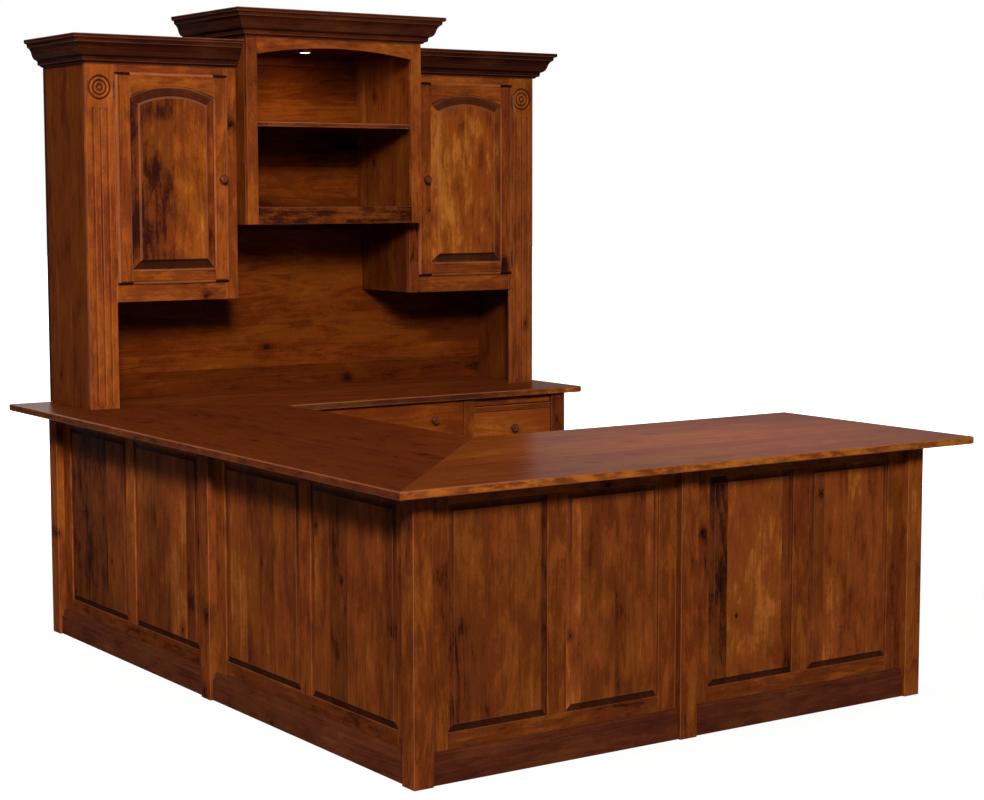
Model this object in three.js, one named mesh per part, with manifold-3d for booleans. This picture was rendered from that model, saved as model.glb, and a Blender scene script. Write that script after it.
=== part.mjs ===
import * as THREE from 'three'
import { mergeVertices } from 'three/addons/utils/BufferGeometryUtils.js'
import Module from 'manifold-3d'

// A U-shaped desk: a front run, a left run and a credenza with a hutch on it.
// The user sits inside the U, which opens to +X. Visitors stand at -Y.
// Millimetres, +Z up. The origin is on the floor, under the middle of the whole desk.

// The U-shaped top
const deskHeight = 787
const topThickness = 23
const topWidth = 2006
const topDepth = 2535
const frontTopDepth = 827
const leftTopWidth = 770
const backTopDepth = 591
const topEase = 3
const outerOverhang = 103
const backOverhang = 94
const userOverhang = 20
const credenzaEndOverhang = 62

// Clearances and the overrun that cutters reach past what they cut
const fitGap = 0.3
const overrun = 5
const weldDistance = 0.0001

// Posts and panelled walls of the base
const postWidth = 60
const postProud = 25
const postEase = 2.5
const frameThickness = 20
const stileWidth = 60
const mullionWidth = 62
const bottomRailHeight = 128
const topRailHeight = 42
const sticking = 2
const grooveDepth = 9
const grooveSetback = 7
const tongueThickness = 6
const tongueSlack = 1
const panelBevel = 22
const panelStep = 1.5
const endMullionWidth = 60

// Baseboard
const baseboardHeight = 84
const baseboardThickness = 16
const coveHeight = 22
const coveDepth = 10

// Drawer pedestals of the front run and of the credenza
const caseBoard = 19
const pedestalStile = 41
const drawerOpening = 348
const drawerRail = 20
const plinthHeight = 104
const apronHeight = 60
const trayZone = 52
const firstDrawerHeight = 128
const secondDrawerHeight = 144
const wideDrawerHeight = 132

// Drawers and the pull-out writing board
const drawerGap = 2
const drawerRecess = 4
const drawerFrontThickness = 20
const drawerSideThickness = 12
const drawerBottomThickness = 8
const drawerSideGap = 13
const drawerTopGap = 22
const drawerBackSpace = 18
const trayThickness = 19
const trayLedge = 11
const trayStripHeight = 10
const trayApronRecess = 16
const trayApronGap = 3
const wideKnobInset = 130

// Turned knobs
const knobDiameter = 30
const knobLength = 26
const knobSides = 16

// Hutch: two wings with doors, and a taller open cabinet between them
const hutchLeftSetback = 149
const hutchEndSetback = 57
const hutchDepth = 357
const hutchBoard = 19
const centreWidth = 700
const centreProud = 82
const wingBottom = 356
const wingTop = 1145
const centreBottom = 611
const centreRise = 103
const crownLap = 38
const ceilingDrop = 61
const centreStile = 40
const centreBottomRail = 59
const archSpringDrop = 57
const archRise = 27
const shelfThickness = 17
const shelfHeight = 335
const shelfSetback = 3

// Fluted pilaster at each end of the hutch
const pilasterWidth = 100
const fluteCount = 3
const flutePitch = 23
const fluteWidth = 13
const fluteDepth = 4
const fluteBottom = 14
const fluteTopDrop = 146
const fluteSides = 16
const rosetteDrop = 79
const rosetteRadius = 37
const rosetteDepth = 5
const rosetteSides = 28

// Arched doors of the wings
const doorEdgeGap = 1
const doorInnerReveal = 37
const doorTopReveal = 27
const doorBottomReveal = 58
const doorLip = 10
const doorLipThickness = 10.5
const doorLipGap = 1.8
const doorInsetDepth = 9
const doorInsetGap = 2
const doorEdgeBevel = 6
const doorStile = 53
const doorBottomRail = 50
const doorArchRail = 50
const doorArchRise = 37
const doorBevel = 32
const doorSticking = 4
const doorGrooveSetback = 6
const archSteps = 14

// Hinges
const hingeRadius = 3.5
const hingeLength = 58
const hingeInset = 62
const hingeLeafThickness = 1.2
const hingeClearance = 0.5
const hingeSides = 12

// Crown mouldings
const crownHeight = 91
const crownProjection = 66

// Puck light
const lightDiameter = 56
const lightDepth = 10
const lightSides = 24

// The outline of the crown, as shares of its projection and its height, from the foot up.
// It has a bead, a fillet, an ogee, a second fillet and a square nose, and leans over the case.
const crownShares = [
  [0, 0], [0.1, 0], [0.13, 0.05], [0.28, 0.09], [0.3, 0.22], [0.36, 0.25],
  [0.5, 0.31], [0.57, 0.4], [0.63, 0.55], [0.72, 0.66], [0.84, 0.72], [0.86, 0.84],
  [0.98, 0.87], [1, 0.89], [1, 0.98], [0.98, 1], [0.46, 1], [0, 0.42]
]

// The turned rosette, as shares of its radius and its depth, from the rim to the middle.
const rosetteShares = [
  [1, 0.3], [0.95, 0.9], [0.87, 0.9], [0.8, 0.16], [0.7, 0.16], [0.63, 0.9],
  [0.55, 0.9], [0.48, 0.16], [0.38, 0.16], [0.31, 0.95], [0.24, 0.9], [0.12, 0.3], [0, 0.14]
]

// Half the outline of a knob, as shares of its diameter and its length, from its foot outwards.
const knobShares = [
  [0, 0], [0.32, 0], [0.32, 0.1], [0.2, 0.18], [0.18, 0.34], [0.36, 0.46],
  [0.49, 0.62], [0.5, 0.74], [0.42, 0.9], [0.24, 0.985], [0, 1]
]

// The cove along the top edge of a baseboard, as shares of its depth and its height.
const coveShares = [[0, 0], [0.3, 0.08], [0.5, 0.22], [0.68, 0.5], [0.76, 0.8], [1, 0.86], [1, 1]]

// Places that follow from the sizes
const baseHeight = deskHeight - topThickness - fitGap
const crownPastTop = Math.max(0, crownProjection + fitGap - hutchEndSetback)
const topLeft = -(topWidth + crownPastTop) / 2
const topRight = topLeft + topWidth
const topFront = -topDepth / 2
const topBack = topDepth / 2
const wallLeft = topLeft + outerOverhang
const wallRight = topRight - outerOverhang
const wallFront = topFront + outerOverhang
const wallBack = topBack - backOverhang
const innerLeft = topLeft + leftTopWidth
const innerFront = topFront + frontTopDepth
const innerBack = topBack - backTopDepth
const gableRight = innerLeft - userOverhang
const panelThickness = grooveSetback + tongueThickness
const pedestalWidth = postWidth + drawerOpening + pedestalStile
const hutchWidth = topWidth - hutchLeftSetback - hutchEndSetback
const centreTop = wingTop + centreRise
const wingWidth = (hutchWidth - centreWidth) / 2
const wingCaseTop = wingTop + crownLap
const centreCaseTop = centreTop + crownLap

const wasm = await Module()
wasm.setup()

// Turns a closed surface round where its faces point inwards.
function facingOut(geometry) {
  const place = geometry.attributes.position
  const order = geometry.index.array
  const corner = [new THREE.Vector3(), new THREE.Vector3(), new THREE.Vector3()]
  let volume = 0
  for (let face = 0; face < order.length; face += 3) {
    corner.forEach((point, k) => point.fromBufferAttribute(place, order[face + k]))
    volume += corner[0].dot(corner[1].clone().cross(corner[2]))
  }
  if (volume < 0) {
    for (let face = 0; face < order.length; face += 3) {
      [order[face], order[face + 1]] = [order[face + 1], order[face]]
    }
  }
  return geometry
}

// A closed surface as a solid that can be joined and cut.
function toSolid(geometry) {
  const bare = geometry.clone()
  bare.deleteAttribute('normal')
  bare.deleteAttribute('uv')
  const welded = facingOut(mergeVertices(bare, weldDistance))
  return new wasm.Manifold(new wasm.Mesh({
    numProp: 3,
    vertProperties: new Float32Array(welded.attributes.position.array),
    triVerts: new Uint32Array(welded.index.array)
  }))
}

function toGeometry(solid) {
  const { vertProperties, triVerts } = solid.getMesh()
  const geometry = new THREE.BufferGeometry()
  geometry.setAttribute('position', new THREE.BufferAttribute(new Float32Array(vertProperties), 3))
  geometry.setIndex(new THREE.BufferAttribute(new Uint32Array(triVerts), 1))
  geometry.computeVertexNormals()
  return geometry
}

const joined = solids => solids.reduce((whole, next) => whole.add(next))

const without = (solid, cutters) => cutters.reduce((rest, cutter) => rest.subtract(cutter), solid)

// A block between two corners, given in any order.
function block(x0, x1, y0, y1, z0, z1) {
  const geometry = new THREE.BoxGeometry(Math.abs(x1 - x0), Math.abs(y1 - y0), Math.abs(z1 - z0))
  geometry.translate((x0 + x1) / 2, (y0 + y1) / 2, (z0 + z1) / 2)
  return toSolid(geometry)
}

// A surface through rings of points, closed at both ends by its flat outlines.
function loftRings(rings, firstOutline, lastOutline) {
  const clockwise = THREE.ShapeUtils.isClockWise(firstOutline)
  const turned = list => (clockwise ? [...list].reverse() : list)
  const ordered = rings.map(turned)
  const count = firstOutline.length
  const last = (rings.length - 1) * count
  const faces = []
  for (let ring = 0; ring < rings.length - 1; ring += 1) {
    for (let point = 0; point < count; point += 1) {
      const here = ring * count + point
      const next = ring * count + (point + 1) % count
      faces.push(here, next, next + count, here, next + count, here + count)
    }
  }
  for (const [a, b, c] of THREE.ShapeUtils.triangulateShape(turned(firstOutline), [])) {
    faces.push(a, c, b)
  }
  for (const [a, b, c] of THREE.ShapeUtils.triangulateShape(turned(lastOutline), [])) {
    faces.push(last + a, last + b, last + c)
  }
  const geometry = new THREE.BufferGeometry().setFromPoints(ordered.flat())
  geometry.setIndex(faces)
  return geometry
}

// A solid that stands on the floor plane, through one outline at each level.
function loftUp(outlines, levels) {
  const rings = outlines.map((outline, k) => outline.map(p => new THREE.Vector3(p.x, p.y, levels[k])))
  return loftRings(rings, outlines[0], outlines.at(-1))
}

// The same solid stood upright: its outline spans X and Z, and its last level faces -Y.
function loftForward(outlines, levels) {
  return loftUp(outlines, levels).rotateX(Math.PI / 2)
}

// A moulding: an outline of reach and height carried along stations.
// Each station has a place and the direction that reach points in there.
function sweep(outline, stations) {
  const rings = stations.map(station => outline.map(point => new THREE.Vector3(
    station.x + station.outX * point.x,
    station.y + station.outY * point.x,
    point.y
  )))
  return toSolid(loftRings(rings, outline, outline))
}

// A rectangle from the origin, with each side moved inwards by an inset.
function rectangle(width, height, inset = 0) {
  return [
    new THREE.Vector2(inset, inset),
    new THREE.Vector2(width - inset, inset),
    new THREE.Vector2(width - inset, height - inset),
    new THREE.Vector2(inset, height - inset)
  ]
}

// A rectangle under a flat circular arch, with each side moved inwards by an inset.
function archway(width, spring, rise, inset = 0) {
  const radius = (width * width / 4 + rise * rise) / (2 * rise)
  const centreHeight = spring + rise - radius
  const halfWidth = width / 2 - inset
  const insetRadius = radius - inset
  const halfAngle = Math.asin(halfWidth / insetRadius)
  const outline = [new THREE.Vector2(inset, inset), new THREE.Vector2(width - inset, inset)]
  for (let step = 0; step <= archSteps; step += 1) {
    const angle = halfAngle * (1 - 2 * step / archSteps)
    outline.push(new THREE.Vector2(
      width / 2 + insetRadius * Math.sin(angle),
      centreHeight + insetRadius * Math.cos(angle)
    ))
  }
  return outline
}

// A turned solid about +Z, from an outline of radius and height that starts and ends on the axis.
function turnedSolid(outline, sides) {
  return toSolid(new THREE.LatheGeometry(outline, sides).rotateX(Math.PI / 2))
}

// Finishes. Every piece gets a material of its own.
const finishes = {
  wood: () => new THREE.MeshStandardMaterial({ color: 0x7c3a17, roughness: 0.36, metalness: 0 }),
  top: () => new THREE.MeshStandardMaterial({ color: 0x6b2f16, roughness: 0.24, metalness: 0 }),
  panel: () => new THREE.MeshStandardMaterial({ color: 0x8a431b, roughness: 0.38, metalness: 0 }),
  inside: () => new THREE.MeshStandardMaterial({ color: 0x93562b, roughness: 0.5, metalness: 0 }),
  knob: () => new THREE.MeshStandardMaterial({ color: 0x3c1b10, roughness: 0.25, metalness: 0 }),
  bronze: () => new THREE.MeshStandardMaterial({ color: 0x4a3626, roughness: 0.35, metalness: 0.9 }),
  lens: () => new THREE.MeshStandardMaterial({ color: 0xf6efe0, roughness: 0.3, metalness: 0 })
}

const desk = new THREE.Group()

function addPiece(parent, name, solid, finish, x = 0, y = 0, z = 0) {
  const mesh = new THREE.Mesh(toGeometry(solid), finishes[finish]())
  mesh.name = name
  mesh.position.set(x, y, z)
  parent.add(mesh)
  return mesh
}

function addGroup(parent, x, y, z, turn = 0) {
  const group = new THREE.Group()
  group.position.set(x, y, z)
  group.rotation.z = turn
  parent.add(group)
  return group
}

// The U-shaped top, eased along every edge and mitred at both corners
function topOutline(inset) {
  return [
    new THREE.Vector2(topLeft + inset, topFront + inset),
    new THREE.Vector2(topRight - inset, topFront + inset),
    new THREE.Vector2(topRight - inset, innerFront - inset),
    new THREE.Vector2(innerLeft - inset, innerFront - inset),
    new THREE.Vector2(innerLeft - inset, innerBack + inset),
    new THREE.Vector2(topRight - inset, innerBack + inset),
    new THREE.Vector2(topRight - inset, topBack - inset),
    new THREE.Vector2(topLeft + inset, topBack - inset)
  ]
}

// Everything on the +X side of the mitre from an outer corner to an inner one.
function mitreCutter(outerCorner, innerCorner, shift) {
  const along = innerCorner.clone().sub(outerCorner).normalize()
  const aside = new THREE.Vector2(-Math.abs(along.y), along.x * Math.sign(along.y))
  const reach = (innerBack - innerFront) / 4
  const start = outerCorner.clone().addScaledVector(along, -reach).addScaledVector(aside, shift)
  const end = innerCorner.clone().addScaledVector(along, reach).addScaledVector(aside, shift)
  const farRight = topRight + reach
  const outline = [start, new THREE.Vector2(farRight, start.y), new THREE.Vector2(farRight, end.y), end]
  return toSolid(loftUp([outline, outline], [-overrun, topThickness + overrun]))
}

function addTops() {
  const whole = toSolid(loftUp(
    [topOutline(topEase), topOutline(0), topOutline(0), topOutline(topEase)],
    [0, topEase, topThickness - topEase, topThickness]
  ))
  const frontCorners = [new THREE.Vector2(topLeft, topFront), new THREE.Vector2(innerLeft, innerFront)]
  const backCorners = [new THREE.Vector2(topLeft, topBack), new THREE.Vector2(innerLeft, innerBack)]
  const level = deskHeight - topThickness
  addPiece(desk, 'front_top', whole.intersect(mitreCutter(...frontCorners, 0)), 'top', 0, 0, level)
  addPiece(desk, 'credenza_top', whole.intersect(mitreCutter(...backCorners, 0)), 'top', 0, 0, level)
  const left = without(whole, [mitreCutter(...frontCorners, fitGap), mitreCutter(...backCorners, fitGap)])
  addPiece(desk, 'left_top', left, 'top', 0, 0, level)
}

// Outer posts, with eased upright edges
function easedPost(width, depth, height) {
  const outline = [
    new THREE.Vector2(postEase, 0),
    new THREE.Vector2(width - postEase, 0),
    new THREE.Vector2(width, postEase),
    new THREE.Vector2(width, depth - postEase),
    new THREE.Vector2(width - postEase, depth),
    new THREE.Vector2(postEase, depth),
    new THREE.Vector2(0, depth - postEase),
    new THREE.Vector2(0, postEase)
  ]
  return toSolid(loftUp([outline, outline], [0, height]))
}

function addCornerPosts() {
  const post = easedPost(postWidth, postWidth, baseHeight)
  addPiece(desk, 'front_left_post', post, 'wood', wallLeft, wallFront, 0)
  addPiece(desk, 'front_right_post', post, 'wood', wallRight - postWidth, wallFront, 0)
  addPiece(desk, 'back_left_post', post, 'wood', wallLeft, wallBack - postWidth, 0)
}

// A board with its face at -Y and windows through it.
// Each window has a place and an outline that can be moved inwards or outwards.
function framedBoard(width, height, thickness, windows, edge, groove) {
  const cutters = []
  for (const { x, z, outlineAt } of windows) {
    const opening = loftForward(
      [outlineAt(0), outlineAt(0), outlineAt(-edge), outlineAt(-edge)],
      [-overrun, thickness - edge, thickness, thickness + overrun]
    )
    cutters.push(toSolid(opening.translate(x, 0, z)))
    if (groove) {
      const slot = loftForward([outlineAt(-grooveDepth), outlineAt(-grooveDepth)], groove)
      cutters.push(toSolid(slot.translate(x, 0, z)))
    }
  }
  return without(toSolid(loftForward(Array(2).fill(rectangle(width, height)), [0, thickness])), cutters)
}

// A raised panel that stands in a groove round its window.
function raisedPanel(outlineAt, bevel) {
  const tongue = outlineAt(tongueSlack - grooveDepth)
  return toSolid(loftForward(
    [tongue, tongue, outlineAt(fitGap), outlineAt(bevel), outlineAt(bevel)],
    [0, tongueThickness - fitGap, tongueThickness - fitGap, panelThickness - panelStep, panelThickness]
  ))
}

// The baseboard's outline, from the wall outwards, with a cove along its top edge.
function baseboardOutline() {
  const outline = [new THREE.Vector2(fitGap, 0), new THREE.Vector2(baseboardThickness, 0)]
  for (const [depthShare, heightShare] of coveShares) {
    outline.push(new THREE.Vector2(
      baseboardThickness - coveDepth * depthShare,
      baseboardHeight - coveHeight * (1 - heightShare)
    ))
  }
  outline.push(new THREE.Vector2(fitGap, baseboardHeight))
  return outline
}

function baseboard(length) {
  const ends = [{ x: fitGap, y: 0, outX: 0, outY: -1 }, { x: length - fitGap, y: 0, outX: 0, outY: -1 }]
  return sweep(baseboardOutline(), ends)
}

// A panelled wall of two bays with two raised panels each, and a post in front of its middle.
// Its own X runs along it, and its face looks at its own -Y.
function addWall(name, length, x, y, turn) {
  const wall = addGroup(desk, x, y, 0, turn)
  const bay = (length - postWidth) / 2
  const panelWidth = (bay - 2 * stileWidth - mullionWidth) / 2
  const panelHeight = baseHeight - bottomRailHeight - topRailHeight
  const outlineAt = inset => rectangle(panelWidth, panelHeight, inset)
  const windows = []
  for (const bayStart of [0, bay + postWidth]) {
    for (const panelStart of [stileWidth, stileWidth + panelWidth + mullionWidth]) {
      windows.push({ x: bayStart + panelStart - fitGap, z: bottomRailHeight, outlineAt })
    }
  }
  const grooveBack = frameThickness - grooveSetback - tongueThickness
  const groove = [grooveBack, grooveBack + tongueThickness]
  const frameLength = length - 2 * fitGap
  const frame = framedBoard(frameLength, baseHeight, frameThickness, windows, sticking, groove)
  addPiece(wall, `${name}_frame`, frame, 'wood', fitGap, frameThickness, 0)
  windows.forEach((window, k) => {
    const back = frameThickness - grooveBack - fitGap / 2
    const panel = raisedPanel(outlineAt, panelBevel)
    addPiece(wall, `${name}_panel_${k + 1}`, panel, 'panel', window.x + fitGap, back, window.z)
  })
  addPiece(wall, `${name}_baseboard`, baseboard(length), 'wood')
  const strip = easedPost(postWidth, postProud - fitGap, baseHeight)
  const notchFront = postProud - baseboardThickness - fitGap
  const notchTop = baseboardHeight + fitGap
  const notch = block(-overrun, postWidth + overrun, notchFront, postProud, -overrun, notchTop)
  addPiece(wall, `${name}_middle_post`, strip.subtract(notch), 'wood', bay, -postProud, 0)
}

function addWalls() {
  const frontLength = wallRight - wallLeft - 2 * postWidth
  const leftLength = wallBack - wallFront - 2 * postWidth
  addWall('front', frontLength, wallLeft + postWidth, wallFront + postProud, 0)
  addWall('left', leftLength, wallLeft + postProud, wallBack - postWidth, -Math.PI / 2)
}

// The panelled end of a pedestal, glued up as one board with two raised fields.
// Its own X runs along it, and its face looks at its own -Y.
function panelledEnd(length) {
  const width = length - 2 * fitGap
  const panelWidth = (width - 2 * stileWidth - endMullionWidth) / 2
  const panelHeight = baseHeight - bottomRailHeight - topRailHeight
  const outlineAt = inset => rectangle(panelWidth, panelHeight, inset)
  const starts = [stileWidth, stileWidth + panelWidth + endMullionWidth]
  const windows = starts.map(x => ({ x, z: bottomRailHeight, outlineAt }))
  const board = framedBoard(width, baseHeight, frameThickness, windows, sticking, null)
  const fields = starts.map(x => {
    const field = loftForward(
      [outlineAt(-sticking), outlineAt(-sticking), outlineAt(panelBevel), outlineAt(panelBevel)],
      [0, frameThickness - grooveSetback, frameThickness - panelStep, frameThickness]
    )
    return toSolid(field.translate(x, 0, bottomRailHeight))
  })
  const foot = sweep(baseboardOutline(), [
    { x: 0, y: fitGap - frameThickness, outX: 0, outY: -1 },
    { x: width, y: fitGap - frameThickness, outX: 0, outY: -1 }
  ])
  return joined([board, ...fields, foot])
}

// A turned knob whose foot is at the origin and whose axis points to -Y.
function turnedKnob() {
  const outline = knobShares.map(([across, along]) => (
    new THREE.Vector2(across * knobDiameter, along * knobLength)
  ))
  return toSolid(new THREE.LatheGeometry(outline, knobSides).rotateX(Math.PI))
}

// A drawer that fills an opening: one glued box with an inset front, and its knobs.
// Its own X runs along the front, Y goes into the case and Z is up from the rail.
function addDrawer(parent, name, opening, knobPlaces) {
  const { x, z, width, height, depth } = opening
  const drawer = addGroup(parent, x, 0, z)
  const frontBack = drawerRecess + drawerFrontThickness
  const front = block(drawerGap, width - drawerGap, drawerRecess, frontBack, drawerGap, height - drawerGap)
  const left = drawerSideGap
  const right = width - drawerSideGap
  const back = depth - drawerBackSpace
  const boxTop = height - drawerTopGap
  const box = block(left, right, drawerRecess + fitGap, back, fitGap, boxTop)
  const hollow = block(
    left + drawerSideThickness, right - drawerSideThickness,
    frontBack, back - drawerSideThickness,
    drawerBottomThickness, boxTop + overrun
  )
  addPiece(drawer, name, without(front.add(box), [hollow]), 'panel')
  knobPlaces.forEach((place, k) => {
    const knobName = knobPlaces.length > 1 ? `${name}_knob_${k + 1}` : `${name}_knob`
    addPiece(drawer, knobName, turnedKnob(), 'knob', place, drawerRecess - fitGap, height / 2)
  })
}

// Blocks of a pedestal in its own frame: u runs inwards from its outer end, v into the case.
// side is 1 where u runs to +X and -1 where it runs to -X.
function pedestalBlocks(side, depth, railLevels) {
  const span = (u0, u1, v0, v1, z0, z1) => block(side * u0, side * u1, v0, v1, z0, z1)
  const openingEnd = postWidth + drawerOpening
  const endInside = postProud + frameThickness + fitGap
  const runnerReach = drawerSideGap + drawerSideThickness
  const blocks = [
    span(0, postWidth, 0, postWidth, 0, baseHeight),
    span(openingEnd, pedestalWidth, 0, frameThickness, 0, baseHeight),
    span(pedestalWidth - caseBoard, pedestalWidth, 0, depth, 0, baseHeight),
    span(endInside, pedestalWidth, 0, frameThickness, 0, plinthHeight),
    span(endInside, pedestalWidth, 0, depth, plinthHeight - caseBoard, plinthHeight)
  ]
  for (const level of railLevels) {
    blocks.push(span(endInside, pedestalWidth, 0, frameThickness, level - drawerRail, level))
    blocks.push(span(endInside, postWidth + runnerReach, 0, depth, level - drawerRail, level))
    blocks.push(span(openingEnd - runnerReach, pedestalWidth, 0, depth, level - drawerRail, level))
    blocks.push(span(endInside, pedestalWidth, depth - drawerRail, depth, level - drawerRail, level))
  }
  return blocks
}

// The front run's pedestal: two file drawers, a kneehole beside them and a gable under the corner.
function addFrontRunCase() {
  const originX = wallRight
  const originY = innerFront - userOverhang
  const depth = originY - (wallFront + postProud + frameThickness) - fitGap
  const unit = addGroup(desk, originX, originY, 0, Math.PI)
  const drawerHeight = (baseHeight - topRailHeight - plinthHeight - drawerRail) / 2
  const upperLevel = plinthHeight + drawerHeight + drawerRail
  const gableOuter = originX - gableRight + caseBoard
  const backTop = baseHeight - apronHeight
  const blocks = pedestalBlocks(1, depth, [upperLevel])
  blocks.push(
    block(0, gableOuter, 0, frameThickness, baseHeight - topRailHeight, baseHeight),
    block(pedestalWidth - caseBoard, gableOuter, 0, frameThickness, backTop, baseHeight),
    block(pedestalWidth - caseBoard, gableOuter, depth - caseBoard, depth, backTop, baseHeight),
    block(gableOuter - caseBoard, gableOuter, 0, depth, 0, baseHeight)
  )
  const postBack = originY - wallFront - postWidth - fitGap
  const postNotch = block(-overrun, postWidth + fitGap, postBack, depth + overrun, -overrun, deskHeight)
  addPiece(unit, 'front_case', joined(blocks).subtract(postNotch), 'wood')
  const opening = { x: postWidth, width: drawerOpening, height: drawerHeight, depth }
  const middle = [drawerOpening / 2]
  addDrawer(unit, 'front_lower_drawer', { ...opening, z: plinthHeight }, middle)
  addDrawer(unit, 'front_upper_drawer', { ...opening, z: upperLevel }, middle)
  const endLength = originY - wallFront - 2 * postWidth
  const end = addGroup(desk, wallRight - postProud, wallFront + postWidth, 0, Math.PI / 2)
  addPiece(end, 'front_case_end', panelledEnd(endLength), 'wood', fitGap, frameThickness, 0)
}

// The credenza: a wide drawer over a kneehole, and a pedestal with a writing board and three drawers.
function addCredenza() {
  const originX = topRight - credenzaEndOverhang
  const originY = innerBack + userOverhang
  const depth = wallBack - originY
  const unit = addGroup(desk, originX, originY, 0)
  const boxDepth = depth - caseBoard - fitGap
  const trayLevel = baseHeight - trayZone
  const firstLevel = trayLevel - firstDrawerHeight
  const secondLevel = firstLevel - drawerRail - secondDrawerHeight
  const thirdHeight = secondLevel - drawerRail - plinthHeight
  const wideLevel = baseHeight - wideDrawerHeight
  const openingStart = -(postWidth + drawerOpening)
  const gableLeft = gableRight - caseBoard - originX
  const wideLeft = gableLeft + pedestalStile
  const wideEnd = caseBoard - pedestalWidth
  const runnerReach = drawerSideGap + drawerSideThickness
  const postBack = depth - postWidth
  const endInside = -(postProud + frameThickness + fitGap)
  const apronTop = trayLevel + trayThickness + trayApronGap
  const apronBack = trayApronRecess + caseBoard
  const stripFront = drawerRecess + drawerFrontThickness + drawerGap
  const stripLevel = trayLevel - trayStripHeight
  const blocks = pedestalBlocks(-1, depth, [firstLevel, secondLevel])
  blocks.push(
    block(-postWidth, 0, postBack, depth, 0, baseHeight),
    block(wallLeft + postWidth + fitGap - originX, -postProud, depth - caseBoard, depth, 0, baseHeight),
    block(gableLeft, gableLeft + caseBoard, 0, depth, 0, baseHeight),
    block(gableLeft, wideLeft, 0, frameThickness, 0, baseHeight),
    block(gableLeft, wideEnd, 0, frameThickness, wideLevel - drawerRail, wideLevel),
    block(gableLeft, wideLeft + runnerReach, 0, depth, wideLevel - drawerRail, wideLevel),
    block(wideEnd - caseBoard - runnerReach, wideEnd, 0, depth, wideLevel - drawerRail, wideLevel),
    block(openingStart - caseBoard, endInside, trayApronRecess, apronBack, apronTop, baseHeight),
    block(openingStart - pedestalStile, openingStart + trayLedge, stripFront, depth, stripLevel, trayLevel),
    block(-postWidth - trayLedge, endInside, stripFront, depth, stripLevel, trayLevel)
  )
  addPiece(unit, 'credenza_case', joined(blocks), 'wood')
  const column = { x: openingStart, width: drawerOpening, depth: boxDepth }
  const middle = [drawerOpening / 2]
  const first = { ...column, z: firstLevel, height: firstDrawerHeight }
  const second = { ...column, z: secondLevel, height: secondDrawerHeight }
  addDrawer(unit, 'credenza_first_drawer', first, middle)
  addDrawer(unit, 'credenza_second_drawer', second, middle)
  addDrawer(unit, 'credenza_file_drawer', { ...column, z: plinthHeight, height: thirdHeight }, middle)
  const wideWidth = -pedestalWidth - wideLeft
  const wide = { x: wideLeft, z: wideLevel, width: wideWidth, height: wideDrawerHeight, depth: boxDepth }
  addDrawer(unit, 'credenza_wide_drawer', wide, [wideKnobInset, wideWidth - wideKnobInset])
  const board = block(
    openingStart + drawerGap, -postWidth - drawerGap,
    drawerRecess, boxDepth - drawerBackSpace,
    trayLevel + fitGap, trayLevel + fitGap + trayThickness
  )
  addPiece(unit, 'writing_board', board, 'wood')
  const end = addGroup(desk, originX - postProud, originY + postWidth, 0, Math.PI / 2)
  addPiece(end, 'credenza_end', panelledEnd(depth - 2 * postWidth), 'wood', fitGap, frameThickness, 0)
}

// Hutch. Its own origin is the foot of its left front corner, on the top.
const hutch = addGroup(desk, topLeft + hutchLeftSetback, topBack - hutchDepth, deskHeight + fitGap)

// A solid for the left wing, or its mirror image for the right wing.
function forSide(side, solid) {
  if (side > 0) return solid
  return toSolid(toGeometry(solid).scale(-1, 1, 1))
}

// Sizes of a wing's door and of the opening behind it
const doorLeft = pilasterWidth + doorEdgeGap
const doorWidth = wingWidth - doorInnerReveal - doorLeft
const doorBottom = wingBottom + doorBottomReveal
const doorHeight = wingTop - doorTopReveal - doorBottom

function fluteCutter(height) {
  const radius = (fluteWidth * fluteWidth / 4 + fluteDepth * fluteDepth) / (2 * fluteDepth)
  const shaft = new THREE.CylinderGeometry(radius, radius, height, fluteSides).rotateX(Math.PI / 2)
  const ball = new THREE.SphereGeometry(radius, fluteSides, fluteSides / 2).rotateX(Math.PI / 2)
  const ends = [-height / 2, height / 2].map(z => toSolid(ball.clone().translate(0, 0, z)))
  return { radius, solid: joined([toSolid(shaft), ...ends]) }
}

function rosetteCutter() {
  const carved = rosetteShares.map(([across, deep]) => (
    new THREE.Vector2(across * rosetteRadius, -deep * rosetteDepth)
  ))
  const outline = [new THREE.Vector2(0, overrun), new THREE.Vector2(rosetteRadius, overrun), ...carved]
  return turnedSolid(outline, rosetteSides)
}

// The wing's face frame: a fluted pilaster down to the top, rails and an inner stile round the door.
function faceFrame() {
  const outline = [
    new THREE.Vector2(0, 0),
    new THREE.Vector2(pilasterWidth, 0),
    new THREE.Vector2(pilasterWidth, wingBottom),
    new THREE.Vector2(wingWidth, wingBottom),
    new THREE.Vector2(wingWidth, wingCaseTop),
    new THREE.Vector2(0, wingCaseTop)
  ]
  const board = toSolid(loftForward([outline, outline], [0, hutchBoard]))
  const opening = block(
    doorLeft + doorLip, doorLeft + doorWidth - doorLip,
    -hutchBoard - overrun, overrun,
    doorBottom + doorLip, doorBottom + doorHeight - doorLip
  )
  const cutters = [opening]
  const fluteTop = wingTop - fluteTopDrop
  const shaftLength = fluteTop - fluteBottom - fluteWidth
  const flute = fluteCutter(shaftLength)
  for (let k = 0; k < fluteCount; k += 1) {
    const x = pilasterWidth / 2 + (k - (fluteCount - 1) / 2) * flutePitch
    const y = -hutchBoard - flute.radius + fluteDepth
    cutters.push(flute.solid.translate([x, y, fluteBottom + (fluteTop - fluteBottom) / 2]))
  }
  const rosette = toGeometry(rosetteCutter()).rotateX(Math.PI / 2)
  rosette.translate(pilasterWidth / 2, -hutchBoard, wingTop - rosetteDrop)
  cutters.push(toSolid(rosette))
  return without(board, cutters)
}

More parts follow.
